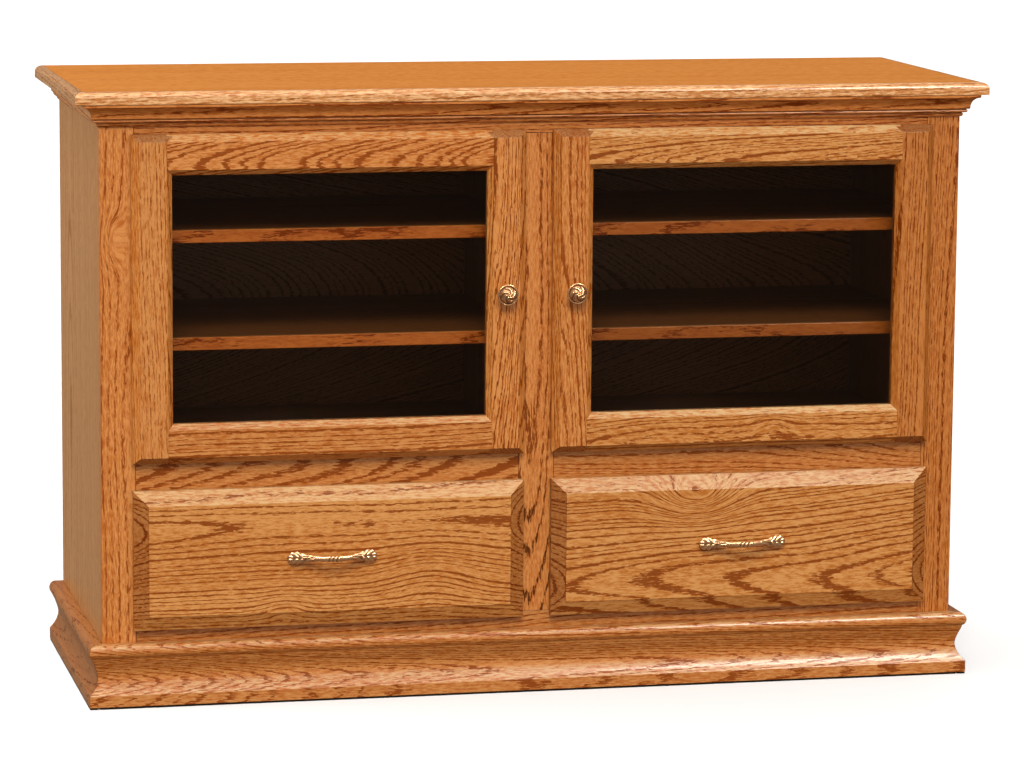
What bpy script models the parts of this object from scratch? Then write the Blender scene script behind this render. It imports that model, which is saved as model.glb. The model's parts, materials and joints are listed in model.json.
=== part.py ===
# Oak media console: face-frame carcase, two glazed overlay doors on concealed
# cup hinges, four shelves, and two overlay drawers on side-mounted steel slides.
# Metres, +Z up, +X to the right, the doors face -Y.
# Origin: centre of the bounding box, on the floor.

import math

import bmesh
import bpy
from mathutils import Matrix, Vector

for old in list(bpy.data.objects):
    bpy.data.objects.remove(old, do_unlink=True)

# ---------------------------------------------------------------- dimensions
GAP = 0.0003                 # clearance between pieces that touch

# overall
TOP_W = 1.397                # 55 in over the top board
TOP_T = 0.019
HEIGHT = 0.9198              # 36-1/4 in
CARCASE_W = 1.321            # 52 in over the side panels
CARCASE_D = 0.492            # face-frame front to the back edge
TOP_FRONT = 0.027            # top board overhang in front of the face frame
TOP_ROUND = 0.0085           # rounded upper edge of the top board
TOP_EASE = 0.0015            # eased lower edge
SIDE_T = 0.019
BACK_T = 0.006
PANEL_T = 0.018              # deck, bottom

# doors and drawer fronts stand in front of the frame
FRONT_GAP = 0.0025           # bumper gap between frame and fronts
FRONT_T = 0.020
PULL_PROJECTION = 0.0258

# face frame
FRAME_T = 0.019
STILE_W = 0.0508
CENTRE_STILE_W = 0.054
TOP_RAIL_Z = 0.8503          # lower edge of the top rail
MID_RAIL_Z = (0.3208, 0.3716)
BOTTOM_RAIL_Z = (0.030, 0.1210)

# mouldings
CORNICE_H = 0.0340
BASE_H = 0.0963
FLOOR_GAP = 0.0030           # the base moulding stands this clear of the floor

# doors
DOOR_X = (0.0213, 0.6151)    # distance from the centre line
DOOR_Z = (0.3662, 0.8559)
MEMBER_W = 0.060             # width of stiles and rails
DOOR_EDGE = 0.0082           # square part of the outer edge
DOOR_BEVEL = 0.0104
STICKING = 0.0085            # bevel around the glass
GROOVE = (0.0064, 0.0109)    # glass groove, from the back face
GROOVE_D = 0.008
EDGE_CHAMFER = 0.0012
GLASS_T = 0.004

# concealed hinges: the pin is PIVOT_IN from the door's edge and PIVOT_UP from its back
PIVOT_IN = 0.006
PIVOT_UP = 0.0055
HINGE_INSET = 0.085          # from the door's ends
CUP_R = 0.0174
CUP_CENTRE = 0.0225          # from the door's edge
CUP_DEPTH = 0.0114
PIN_R = 0.0012
EYE_R = 0.0024
EYE_HOLE_R = 0.0015
ARM_REACH = 0.0095
ARM_T = 0.002
ARM_W = 0.0088

# drawers
DRAWER_X = (0.0214, 0.6146)
DRAWER_Z = (0.1154, 0.3259)
DRAWER_EDGE = 0.0099
DRAWER_BEVEL = 0.0217
BOX_Z = (0.1313, 0.2813)
BOX_DEPTH = 0.440
BOX_T = 0.0127
SLIDE_SPACE = 0.0127
SLIDE_H = 0.0457
SLIDE_Z = 0.2048
SLIDE_SHEET = 0.0015

# shelves: lower face and upper face
SHELF_LOW = (0.5270, 0.5462)
SHELF_HIGH = (0.6883, 0.7075)
SHELF_FRONT = 0.045          # set back from the frame's front
PARTITION_T = 0.019

KNOB_X = 0.0534
KNOB_R = 0.0159
KNOB_PROJECTION = 0.0248
PULL_HALF = 0.0682
CABLE_HOLE = (0.110, 0.060)

# derived
Y_FACE = -(CARCASE_D - FRONT_GAP - FRONT_T - PULL_PROJECTION) / 2
Y_BACK = Y_FACE + CARCASE_D
Y_PANEL = Y_FACE + FRAME_T + GAP          # front edge of everything behind the frame
Y_INNER = Y_BACK - BACK_T - GAP           # just inside the back panel
Y_DOOR_BACK = Y_FACE - FRONT_GAP
Y_DOOR_FRONT = Y_DOOR_BACK - FRONT_T
HALF = CARCASE_W / 2
TOP_UNDER = HEIGHT - TOP_T
OPEN_OUT = HALF - STILE_W                 # outer edge of the openings
OPEN_IN = CENTRE_STILE_W / 2
SIDE_IN = HALF - SIDE_T
DECK_TOP = MID_RAIL_Z[1] - GAP
FLOOR_TOP = BOTTOM_RAIL_Z[1] - GAP
DOOR_MID_Z = (DOOR_Z[0] + DOOR_Z[1]) / 2
DRAWER_MID_X = (DRAWER_X[0] + DRAWER_X[1]) / 2
DRAWER_MID_Z = (DRAWER_Z[0] + DRAWER_Z[1]) / 2

# ---------------------------------------------------------------- collections
parts = bpy.data.collections.new("oak_tv_console")
cutters = bpy.data.collections.new("cutters")
bpy.context.scene.collection.children.link(parts)
bpy.context.scene.collection.children.link(cutters)


# ---------------------------------------------------------------- materials
def material(name, colour, roughness, metallic=0.0, transmission=0.0):
    m = bpy.data.materials.new(name)
    m.use_nodes = True
    shader = m.node_tree.nodes["Principled BSDF"]
    shader.inputs["Base Color"].default_value = (*colour, 1.0)
    shader.inputs["Roughness"].default_value = roughness
    shader.inputs["Metallic"].default_value = metallic
    shader.inputs["Transmission Weight"].default_value = transmission
    return m


OAK = material("oak", (0.47, 0.19, 0.055), 0.38)
OAK_SIDE = material("oak_panel", (0.36, 0.15, 0.05), 0.42)
OAK_TOP = material("oak_veneer", (0.52, 0.22, 0.07), 0.33)
PLY = material("plywood", (0.50, 0.30, 0.13), 0.6)
MAPLE = material("drawer_box_wood", (0.62, 0.43, 0.23), 0.5)
GLASS = material("tinted_glass", (0.02, 0.018, 0.015), 0.03, 0.0, 0.6)
BRASS = material("antique_brass", (0.42, 0.26, 0.10), 0.3, 1.0)
STEEL = material("zinc_steel", (0.62, 0.62, 0.60), 0.35, 1.0)
NICKEL = material("nickel", (0.66, 0.64, 0.60), 0.28, 1.0)


# ---------------------------------------------------------------- helpers
def empty(name, location):
    ob = bpy.data.objects.new(name, None)
    ob.location = location
    ob.empty_display_size = 0.05
    parts.objects.link(ob)
    return ob


CARCASE = empty("carcase_frame", (0, 0, 0))


def add(name, mesh, location, mat, parent=CARCASE, rotation=(0, 0, 0)):
    ob = bpy.data.objects.new(name, mesh)
    parts.objects.link(ob)
    ob.parent = parent
    ob.location = Vector(location) - Vector(parent.location)
    ob.rotation_euler = rotation
    if mat and not mesh.materials:
        mesh.materials.append(mat)
    return ob


def to_mesh(name, bm):
    bmesh.ops.recalc_face_normals(bm, faces=bm.faces)
    mesh = bpy.data.meshes.new(name)
    bm.to_mesh(mesh)
    bm.free()
    return mesh


def cube(size):
    bm = bmesh.new()
    bmesh.ops.create_cube(bm, size=1.0)
    bmesh.ops.scale(bm, vec=size, verts=bm.verts)
    return bm


def box(name, low, high, mat, parent=CARCASE):
    low, high = Vector(low), Vector(high)
    return add(name, to_mesh(name, cube(high - low)), (low + high) / 2, mat, parent)


def arc(cx, cy, rx, ry, a0, a1, steps):
    """Points on an ellipse arc, angles in degrees."""
    out = []
    for i in range(steps + 1):
        a = math.radians(a0 + (a1 - a0) * i / steps)
        out.append((cx + rx * math.cos(a), cy + ry * math.sin(a)))
    return out


def outline_bmesh(loops, length, basis):
    """A flat outline, given in metres, drawn as a 2D curve in millimetres,
    extruded to length and turned so that its axes lie along basis."""
    curve = bpy.data.curves.new("outline", "CURVE")
    curve.dimensions = "2D"
    curve.fill_mode = "BOTH"
    curve.extrude = length * 500.0
    for points in loops:
        spline = curve.splines.new("POLY")
        spline.points.add(len(points) - 1)
        for p, (a, b) in zip(spline.points, points):
            p.co = (a * 1000.0, b * 1000.0, 0.0, 1.0)
        spline.use_cyclic_u = True
    ob = bpy.data.objects.new("outline", curve)
    bpy.context.scene.collection.objects.link(ob)
    bpy.context.view_layer.update()
    graph = bpy.context.evaluated_depsgraph_get()
    mesh = bpy.data.meshes.new_from_object(ob.evaluated_get(graph))
    bpy.data.objects.remove(ob, do_unlink=True)
    bpy.data.curves.remove(curve)
    bm = bmesh.new()
    bm.from_mesh(mesh)
    bpy.data.meshes.remove(mesh)
    bmesh.ops.remove_doubles(bm, verts=bm.verts, dist=0.001)
    bmesh.ops.scale(bm, vec=(0.001, 0.001, 0.001), verts=bm.verts)
    x, y = Vector(basis[0]), Vector(basis[1])
    turn = Matrix((x, y, x.cross(y))).transposed()
    bmesh.ops.transform(bm, matrix=turn.to_4x4(), verts=bm.verts)
    bmesh.ops.recalc_face_normals(bm, faces=bm.faces)
    return bm


def trim(bm, point, normal):
    """Cut away everything on the side that normal points to and close the cut."""
    bmesh.ops.bisect_plane(
        bm, geom=bm.verts[:] + bm.edges[:] + bm.faces[:], dist=1e-7,
        plane_co=point, plane_no=Vector(normal).normalized(), clear_outer=True)
    bmesh.ops.holes_fill(bm, edges=[e for e in bm.edges if e.is_boundary])
    bmesh.ops.recalc_face_normals(bm, faces=bm.faces)


def cutter(name, mesh, location, rotation=(0, 0, 0)):
    ob = bpy.data.objects.new(name, mesh)
    cutters.objects.link(ob)
    ob.location = location
    ob.rotation_euler = rotation
    ob.hide_render = True
    ob.display_type = "WIRE"
    return ob


def boolean(ob, tool, operation="DIFFERENCE"):
    mod = ob.modifiers.new(tool.name, "BOOLEAN")
    mod.operation = operation
    mod.solver = "EXACT"
    mod.object = tool
    return mod


def cylinder_mesh(name, radius, depth, segments):
    bm = bmesh.new()
    bmesh.ops.create_cone(bm, cap_ends=True, segments=segments,
                          radius1=radius, radius2=radius, depth=depth)
    return to_mesh(name, bm)


def smooth(mesh, degrees=35):
    mesh.shade_smooth()
    mesh.set_sharp_from_angle(angle=math.radians(degrees))


# ---------------------------------------------------------------- top board
def top_panel():
    low = Vector((-TOP_W / 2, Y_FACE - TOP_FRONT, TOP_UNDER))
    high = Vector((TOP_W / 2, Y_BACK, HEIGHT))
    size = high - low
    bm = cube(size)

    def rim(z_sign):
        chosen = []
        for e in bm.edges:
            mid = (e.verts[0].co + e.verts[1].co) / 2
            if mid.z * z_sign < size.z * 0.49:
                continue
            if abs(mid.x) > size.x * 0.49 or mid.y < -size.y * 0.49:
                chosen.append(e)
        return chosen

    bmesh.ops.bevel(bm, geom=rim(1), offset=TOP_ROUND, segments=5, profile=0.5, affect="EDGES")
    bmesh.ops.bevel(bm, geom=rim(-1), offset=TOP_EASE, segments=2, profile=0.5, affect="EDGES")
    mesh = to_mesh("top_panel", bm)
    smooth(mesh)
    add("top_panel", mesh, (low + high) / 2, OAK_TOP)


top_panel()


# ---------------------------------------------------------------- mouldings
def cornice_outline():
    """Projection from the carcase, height above the cornice's lower edge:
    fillet, cove, step and two reeds."""
    h = CORNICE_H
    pts = [(GAP, 0.0), (0.0020, 0.0)]
    pts += arc(0.0012, 0.0033, 0.0027, 0.0031, -70, 80, 4)       # lower reed
    pts += arc(0.0062, 0.0090, 0.0034, 0.0026, -80, 70, 4)       # upper reed
    pts += [(0.0080, 0.0118), (0.0114, 0.0121), (0.0124, 0.0129)]    # step
    pts += arc(0.0250, 0.0140, 0.0124, 0.0158, 180, 92, 7)       # cove
    pts += [(0.0246, h - 0.0040), (0.0254, h - 0.0037), (0.0254, h - GAP), (GAP, h - GAP)]
    return pts


def base_outline():
    """Foot fillet just clear of the floor, cove and rounded nosing in one S curve."""
    waist, waist_z = 0.0085, 0.0473
    foot, foot_z = 0.0214, 0.0208
    neck, neck_z = 0.0182, 0.0755
    pts = [(GAP, FLOOR_GAP), (0.0222, FLOOR_GAP), (0.0222, foot_z - 0.0010)]
    for i in range(9):
        t = i / 8
        z = foot_z + (waist_z - foot_z) * t
        pts.append((waist + (foot - waist) * (1 - t) ** 2.0, z))
    for i in range(1, 6):
        t = i / 6
        z = waist_z + (neck_z - waist_z) * t
        pts.append((waist + (neck - waist) * t ** 1.4, z))
    pts += arc(0.0125, 0.0853, 0.0101, 0.0108, -60, 90, 10)      # nosing
    pts += [(GAP, BASE_H - 0.0002)]
    return pts


def moulding(prefix, outline, z):
    """Front and side runs of one profile, mitred at the front corners."""
    left, right = Vector((-HALF, Y_FACE, 0)), Vector((HALF, Y_FACE, 0))
    inward = Vector((1, -1, 0)).normalized()      # towards the front run at the left mitre
    mirror = Vector((-1, -1, 0)).normalized()
    front_at = Vector((0, Y_FACE, z))
    bm = outline_bmesh([outline], CARCASE_W + 0.1, ((0, -1, 0), (0, 0, 1)))
    trim(bm, left - front_at + inward * GAP / 2, -inward)
    trim(bm, right - front_at + mirror * GAP / 2, -mirror)
    mesh = to_mesh(prefix + "_front", bm)
    add(prefix + "_front", mesh, front_at, OAK)
    run = CARCASE_D + 0.1
    for name, sign, corner, normal in (("_left", -1, left, inward), ("_right", 1, right, mirror)):
        at = Vector((sign * HALF, Y_BACK - run / 2, z))
        bm = outline_bmesh([outline], run, ((sign, 0, 0), (0, 0, 1)))
        trim(bm, corner - at - normal * GAP / 2, normal)
        mesh = to_mesh(prefix + name, bm)
        add(prefix + name, mesh, at, OAK)


moulding("cornice", cornice_outline(), TOP_UNDER - CORNICE_H)
moulding("base_moulding", base_outline(), 0.0)

# ---------------------------------------------------------------- carcase panels
for name, sign in (("side_panel_left", -1), ("side_panel_right", 1)):
    xs = sorted((sign * HALF, sign * SIDE_IN))
    box(name, (xs[0], Y_PANEL, 0), (xs[1], Y_BACK, TOP_UNDER - GAP), OAK_SIDE)

box("deck_panel", (-SIDE_IN + GAP, Y_PANEL, DECK_TOP - PANEL_T),
    (SIDE_IN - GAP, Y_INNER, DECK_TOP), PLY)
box("bottom_panel", (-SIDE_IN + GAP, Y_PANEL, FLOOR_TOP - PANEL_T),
    (SIDE_IN - GAP, Y_INNER, FLOOR_TOP), PLY)
box("center_partition", (-PARTITION_T / 2, Y_PANEL, DECK_TOP + GAP),
    (PARTITION_T / 2, Y_INNER, TOP_UNDER - GAP), OAK_SIDE)

# back panel with one rounded cable opening in each bay
BACK_Z = (BASE_H, TOP_UNDER - GAP)
BAY_MID = (SIDE_IN + PARTITION_T / 2) / 2
CABLE_Z = 0.4943


def rounded_rectangle(cx, cy, w, h, r, steps):
    pts = []
    for sx, sy, a in ((1, 1, 0), (-1, 1, 90), (-1, -1, 180), (1, -1, 270)):
        pts += arc(cx + sx * (w / 2 - r), cy + sy * (h / 2 - r), r, r, a, a + 90, steps)
    return pts


def back_panel():
    w, zc, zh = SIDE_IN - GAP, sum(BACK_Z) / 2, (BACK_Z[1] - BACK_Z[0]) / 2
    sheet = [(-w, -zh), (w, -zh), (w, zh), (-w, zh)]
    loops = [sheet]
    for side in (-1, 1):
        loops.append(rounded_rectangle(side * BAY_MID, CABLE_Z - zc, *CABLE_HOLE, 0.018, 4))
    bm = outline_bmesh(loops, BACK_T, ((1, 0, 0), (0, 0, 1)))
    add("back_panel", to_mesh("back_panel", bm), (0, Y_BACK - BACK_T / 2, zc), PLY)


back_panel()

# ---------------------------------------------------------------- face frame
y0, y1 = Y_FACE, Y_FACE + FRAME_T
box("frame_stile_left", (-HALF, y0, 0), (-OPEN_OUT, y1, TOP_UNDER - GAP), OAK)
box("frame_stile_right", (OPEN_OUT, y0, 0), (HALF, y1, TOP_UNDER - GAP), OAK)
box("frame_rail_top", (-OPEN_OUT + GAP, y0, TOP_RAIL_Z),
    (OPEN_OUT - GAP, y1, TOP_UNDER - GAP), OAK)
box("frame_rail_bottom", (-OPEN_OUT + GAP, y0, BOTTOM_RAIL_Z[0]),
    (OPEN_OUT - GAP, y1, BOTTOM_RAIL_Z[1]), OAK)
box("frame_stile_center", (-OPEN_IN, y0, BOTTOM_RAIL_Z[1] + GAP),
    (OPEN_IN, y1, TOP_RAIL_Z - GAP), OAK)
box("frame_rail_mid_left", (-OPEN_OUT + GAP, y0, MID_RAIL_Z[0]),
    (-OPEN_IN - GAP, y1, MID_RAIL_Z[1]), OAK)
box("frame_rail_mid_right", (OPEN_IN + GAP, y0, MID_RAIL_Z[0]),
    (OPEN_OUT - GAP, y1, MID_RAIL_Z[1]), OAK)

# ---------------------------------------------------------------- shelves
for bay, sign in (("left", -1), ("right", 1)):
    xs = sorted((sign * (PARTITION_T / 2 + GAP), sign * (SIDE_IN - GAP)))
    for level, zs in (("lower", SHELF_LOW), ("upper", SHELF_HIGH)):
        box("shelf_%s_%s" % (bay, level), (xs[0], Y_FACE + SHELF_FRONT, zs[0]),
            (xs[1], Y_INNER - 0.004, zs[1]), OAK)


# ---------------------------------------------------------------- door joinery
def member_outline():
    """Section of a door stile or rail. First value: distance in from the door's
    outer edge; second: height above the door's back face."""
    w, t = MEMBER_W, FRONT_T
    lip = t - STICKING
    return [(EDGE_CHAMFER, 0.0), (w, 0.0), (w, GROOVE[0]), (w - GROOVE_D, GROOVE[0]),
            (w - GROOVE_D, GROOVE[1]), (w, GROOVE[1]), (w, lip), (w - STICKING, t),
            (DOOR_BEVEL, t), (0.0, DOOR_EDGE), (0.0, EDGE_CHAMFER)]


def cope_outline():
    """The stile's section grown by the joint gap: what a coped rail end clears."""
    w, t, g = MEMBER_W, FRONT_T, GAP
    lip = t - STICKING
    slant = g * math.sqrt(2)
    over = 0.002
    return [(-over, -over), (w + g, -over), (w + g, GROOVE[0] + g),
            (w - GROOVE_D + g, GROOVE[0] + g), (w - GROOVE_D + g, GROOVE[1] - g),
            (w + g, GROOVE[1] - g), (w + g, lip + slant - g),
            (w - STICKING + slant - over, t + over), (-over, t + over)]


def bevel_ends(bm, half):
    """Carry the outer bevel across both ends of a stile."""
    drop = FRONT_T - DOOR_EDGE
    for s in (-1, 1):
        trim(bm, (0, -DOOR_EDGE, s * half), (0, -DOOR_BEVEL, s * drop))
        c = EDGE_CHAMFER
        trim(bm, (0, -c, s * half), (0, c, s * c))


def glazed_door(side, sign, axis):
    """sign is -1 for the door hinged at the left of the console, +1 at the right."""
    x_hinge, x_free = sign * DOOR_X[1], sign * DOOR_X[0]
    inward = -sign                      # from the hinge edge to the free edge
    half = (DOOR_Z[1] - DOOR_Z[0]) / 2
    upright = ((0, 0, 1), DOOR_MID_Z)
    pivot_zs = (DOOR_Z[0] + HINGE_INSET, DOOR_Z[1] - HINGE_INSET)

    # stiles run the full height
    for name, x_edge, into in (("stile_hinge", x_hinge, inward), ("stile_knob", x_free, -inward)):
        bm = outline_bmesh([member_outline()], half * 2, ((into, 0, 0), (0, -1, 0)))
        bevel_ends(bm, half)
        full = "%s_door_%s" % (side, name)
        stile = add(full, to_mesh(full, bm), (x_edge, Y_DOOR_BACK, DOOR_MID_Z), OAK, axis)
        if name != "stile_hinge":
            continue
        for level, z in zip(("lower", "upper"), pivot_zs):
            cup_x = x_edge + into * CUP_CENTRE
            depth = 0.0120
            hole = cylinder_mesh("cup_bore", CUP_R + 0.0004, depth + 0.01, 28)
            boolean(stile, cutter("%s_%s_cup_bore" % (side, level), hole,
                                  (cup_x, Y_DOOR_BACK - depth + (depth + 0.01) / 2, z),
                                  (math.pi / 2, 0, 0)))
            notch_depth = 0.0091
            notch = to_mesh("pin_notch", cube((0.0100, notch_depth + 0.01, 0.0140)))
            boolean(stile, cutter("%s_%s_pin_notch" % (side, level), notch,
                                  (x_edge + into * 0.0076,
                                   Y_DOOR_BACK - notch_depth + (notch_depth + 0.01) / 2, z)))

    # rails fit between the stiles with coped ends and stub tenons in the glass groove
    copes = []
    for name, x_edge, into in (("hinge", x_hinge, inward), ("free", x_free, -inward)):
        bm = outline_bmesh([cope_outline()], half * 2 + 0.02, ((into, 0, 0), (0, -1, 0)))
        copes.append(cutter("%s_cope_%s" % (side, name), to_mesh("cope", bm),
                            (x_edge, Y_DOOR_BACK, DOOR_MID_Z)))
    reach = DOOR_X[1] - DOOR_X[0] - 2 * (MEMBER_W - GROOVE_D - 0.001)
    x_mid = (x_hinge + x_free) / 2
    for name, z_edge, down in (("rail_top", DOOR_Z[1], -1), ("rail_bottom", DOOR_Z[0], 1)):
        bm = outline_bmesh([member_outline()], reach, ((0, 0, down), (0, -1, 0)))
        full = "%s_door_%s" % (side, name)
        rail = add(full, to_mesh(full, bm), (x_mid, Y_DOOR_BACK, z_edge), OAK, axis)
        for c in copes:
            boolean(rail, c)

    # glass in the groove
    grip = MEMBER_W - GROOVE_D + 0.0012
    xs = sorted((x_hinge + inward * grip, x_free - inward * grip))
    mid = (GROOVE[0] + GROOVE[1]) / 2
    box("%s_door_glass" % side,
        (xs[0], Y_DOOR_BACK - mid - GLASS_T / 2, DOOR_Z[0] + grip),
        (xs[1], Y_DOOR_BACK - mid + GLASS_T / 2, DOOR_Z[1] - grip), GLASS, axis)
    return pivot_zs


# ---------------------------------------------------------------- concealed hinges
def hinge_cup_mesh():
    """Cup, flange, two pin cheeks and the pin, about the pin's centre.
    X runs from the hinge edge into the door, -Y towards the door's front."""
    back = PIVOT_UP                       # y of the door's back face
    cup_x = CUP_CENTRE - PIVOT_IN
    body = bpy.data.objects.new("cup_body", cylinder_mesh("cup_body", CUP_R, CUP_DEPTH, 28))
    cutters.objects.link(body)
    body.location = (cup_x, back - CUP_DEPTH / 2 + 0.0001, 0)
    body.rotation_euler = (math.pi / 2, 0, 0)
    tools = []

    def tool(name, mesh, at, operation, rotation=(0, 0, 0)):
        t = cutter(name, mesh, at, rotation)
        tools.append(t)
        boolean(body, t, operation)

    flange_y = back + GAP + 0.0006
    tool("flange", to_mesh("flange", cube((0.0150, 0.0012, 0.0520))),
         (cup_x, flange_y, 0), "UNION")
    rim = cylinder_mesh("rim", CUP_R + 0.0014, 0.0012, 28)
    tool("rim", rim, (cup_x, flange_y, 0), "UNION", (math.pi / 2, 0, 0))
    cheek_depth = 0.0087
    tool("cheeks", to_mesh("cheeks", cube((0.0105, cheek_depth + 0.0006, 0.0132))),
         (0.0022, back - (cheek_depth - 0.0006) / 2, 0), "UNION")
    tool("hollow", cylinder_mesh("hollow", CUP_R - 0.001, 0.0124, 28),
         (cup_x, back - 0.0104 + 0.0062, 0), "DIFFERENCE", (math.pi / 2, 0, 0))
    slot_depth = 0.0081
    tool("slot", to_mesh("slot", cube((0.0240, slot_depth + 0.006, 0.0094))),
         (0.0070, back - slot_depth + (slot_depth + 0.006) / 2, 0), "DIFFERENCE")
    tool("pin", cylinder_mesh("pin", PIN_R, 0.0116, 16), (0, 0, 0), "UNION")

    bpy.context.view_layer.update()
    graph = bpy.context.evaluated_depsgraph_get()
    mesh = bpy.data.meshes.new_from_object(body.evaluated_get(graph))
    mesh.transform(body.matrix_world)
    for ob in tools + [body]:
        bpy.data.objects.remove(ob, do_unlink=True)
    mesh.name = "hinge_cup"
    mesh.materials.clear()
    mesh.materials.append(NICKEL)
    smooth(mesh)
    return mesh


def hinge_arm_mesh():
    """Cranked arm with the pin's eye, on a plate for the frame stile's inner edge,
    about the pin's centre. X runs from the hinge edge into the door, +Y to the back."""
    h = ARM_T / 2
    eye_a = math.degrees(math.asin(h / EYE_R))
    plate_x = DOOR_X[1] - OPEN_OUT + GAP - PIVOT_IN       # plate face on the stile's edge
    frame_y = FRONT_GAP + PIVOT_UP                        # the frame's front face
    knee, plate_end = frame_y + 0.003, frame_y + 0.0185
    outer, inner = ARM_REACH + h, ARM_REACH - h
    loop = arc(0, 0, EYE_R, EYE_R, -eye_a, -360 + eye_a, 14)
    loop += [(inner, h), (inner, knee), (plate_x, knee), (plate_x, plate_end),
             (plate_x + ARM_T, plate_end), (plate_x + ARM_T, knee + ARM_T),
             (outer, knee + ARM_T), (outer, -h)]
    hole = arc(0, 0, EYE_HOLE_R, EYE_HOLE_R, 0, 360 - 22.5, 15)
    bm = outline_bmesh([loop, hole], ARM_W, ((1, 0, 0), (0, 1, 0)))
    arm = bpy.data.objects.new("arm", to_mesh("arm", bm))
    cutters.objects.link(arm)
    plate = cutter("plate", to_mesh("plate", cube((ARM_T, plate_end - knee - ARM_T, 0.040))),
                   (plate_x + h, (plate_end + knee + ARM_T) / 2, 0))
    boolean(arm, plate, "UNION")
    bpy.context.view_layer.update()
    graph = bpy.context.evaluated_depsgraph_get()
    mesh = bpy.data.meshes.new_from_object(arm.evaluated_get(graph))
    for ob in (arm, plate):
        bpy.data.objects.remove(ob, do_unlink=True)
    mesh.name = "hinge_arm"
    mesh.materials.clear()
    mesh.materials.append(NICKEL)
    smooth(mesh)
    return mesh


CUP_MESH = hinge_cup_mesh()
ARM_MESH = hinge_arm_mesh()
PIVOT_Y = Y_DOOR_BACK - PIVOT_UP


# ---------------------------------------------------------------- knobs and pulls
def knob_mesh():
    """Turned knob, front up along +Z, its foot at 0."""
    r, p = KNOB_R, KNOB_PROJECTION
    profile = [(0.0, p)]
    rim_z = 0.0172
    for i in range(1, 6):
        a = math.radians(90 * i / 5)
        profile.append((r * 0.97 * math.sin(a), rim_z + (p - rim_z) * math.cos(a)))
    profile += [(r, rim_z - 0.0012), (r * 0.95, rim_z - 0.0030), (r * 0.66, 0.0112),
                (r * 0.42, 0.0085), (r * 0.36, 0.0055), (r * 0.42, 0.0028),
                (r * 0.52, 0.0012), (r * 0.52, GAP), (0.0, GAP)]
    mesh = bpy.data.meshes.new("knob_profile")
    mesh.from_pydata([(x, 0, z) for x, z in profile],
                     [(i, i + 1) for i in range(len(profile) - 1)], [])
    return mesh


def knob(name, x, parent):
    ob = add(name, knob_mesh(), (x, Y_DOOR_FRONT, DOOR_MID_Z), BRASS, parent, (math.pi / 2, 0, 0))
    screw = ob.modifiers.new("turn", "SCREW")
    screw.steps = 22
    screw.render_steps = 22
    screw.use_merge_vertices = True
    screw.merge_threshold = 0.00001
    screw.use_smooth_shade = True


def pull_mesh():
    """Bow pull with broad leaf ends. A loft of oval sections along X; the middle
    stands away from the drawer front, the leaf ends lie on it."""
    half = PULL_HALF
    tip, sides = 14, 12
    rings = []
    for i in range(-tip, tip + 1):
        s = math.sin(math.pi / 2 * i / tip)                   # closer together near the ends
        x = half * s
        d = abs(x) / half
        leaf = math.exp(-((d - 0.84) / (0.145 if d > 0.84 else 0.240)) ** 2)
        bar = 0.0040 + 0.0003 * math.cos(math.pi * min(1.0, d * 1.6))
        close = math.sqrt(max(0.0, 1 - max(0.0, (d - 0.90) / 0.10) ** 2))
        tall = (bar + 0.0056 * leaf) * (0.30 + 0.70 * close)
        thick = (0.0032 + 0.0010 * leaf) * (0.45 + 0.55 * close)
        rise = 0.5 + 0.5 * math.cos(math.pi * min(1.0, d / 0.86))
        out = GAP + 0.0043 + 0.0180 * rise ** 0.8
        rings.append((x, out, tall, thick))
    bm = bmesh.new()
    loops = []
    for n, (x, out, tall, thick) in enumerate(rings):
        a, b = rings[max(0, n - 1)], rings[min(len(rings) - 1, n + 1)]
        along = Vector((b[0] - a[0], -(b[1] - a[1]), 0)).normalized()
        across = Vector((along.y, -along.x, 0))                # away from the drawer front
        if abs(x) > half * 0.80:
            across = Vector((0, -1, 0))
        centre = Vector((x, -out, 0))
        ring = []
        for k in range(sides):
            t = 2 * math.pi * k / sides
            ring.append(bm.verts.new(centre + across * thick * math.cos(t)
                                     + Vector((0, 0, tall * math.sin(t)))))
        loops.append(ring)
    for a, b in zip(loops, loops[1:]):
        for k in range(sides):
            bm.faces.new((a[k], a[(k + 1) % sides], b[(k + 1) % sides], b[k]))
    bm.faces.new(loops[0])
    bm.faces.new(loops[-1])
    mesh = to_mesh("drawer_pull", bm)
    smooth(mesh, 50)
    return mesh


# ---------------------------------------------------------------- doors
for side, sign in (("left", -1), ("right", 1)):
    pivot_x = sign * (DOOR_X[1] - PIVOT_IN)
    axis = empty("%s_door_axis" % side, (pivot_x, PIVOT_Y, DOOR_MID_Z))
    zs = glazed_door(side, sign, axis)
    turn = (0, 0, 0) if sign < 0 else (0, math.pi, 0)
    for level, z in zip(("lower", "upper"), zs):
        at = (pivot_x, PIVOT_Y, z)
        add("%s_hinge_cup_%s" % (side, level), CUP_MESH, at, None, axis, turn)
        add("%s_hinge_arm_%s" % (side, level), ARM_MESH, at, None, CARCASE, turn)
    knob("%s_door_knob" % side, sign * KNOB_X, axis)

# ---------------------------------------------------------------- drawers
BOX_X = (OPEN_IN + SLIDE_SPACE, OPEN_OUT - SLIDE_SPACE)
BOX_Y = (Y_DOOR_BACK + GAP, Y_DOOR_BACK + GAP + BOX_DEPTH)
BOTTOM_Z = (0.1436, 0.1496)
PULL_MESH = pull_mesh()


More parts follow.
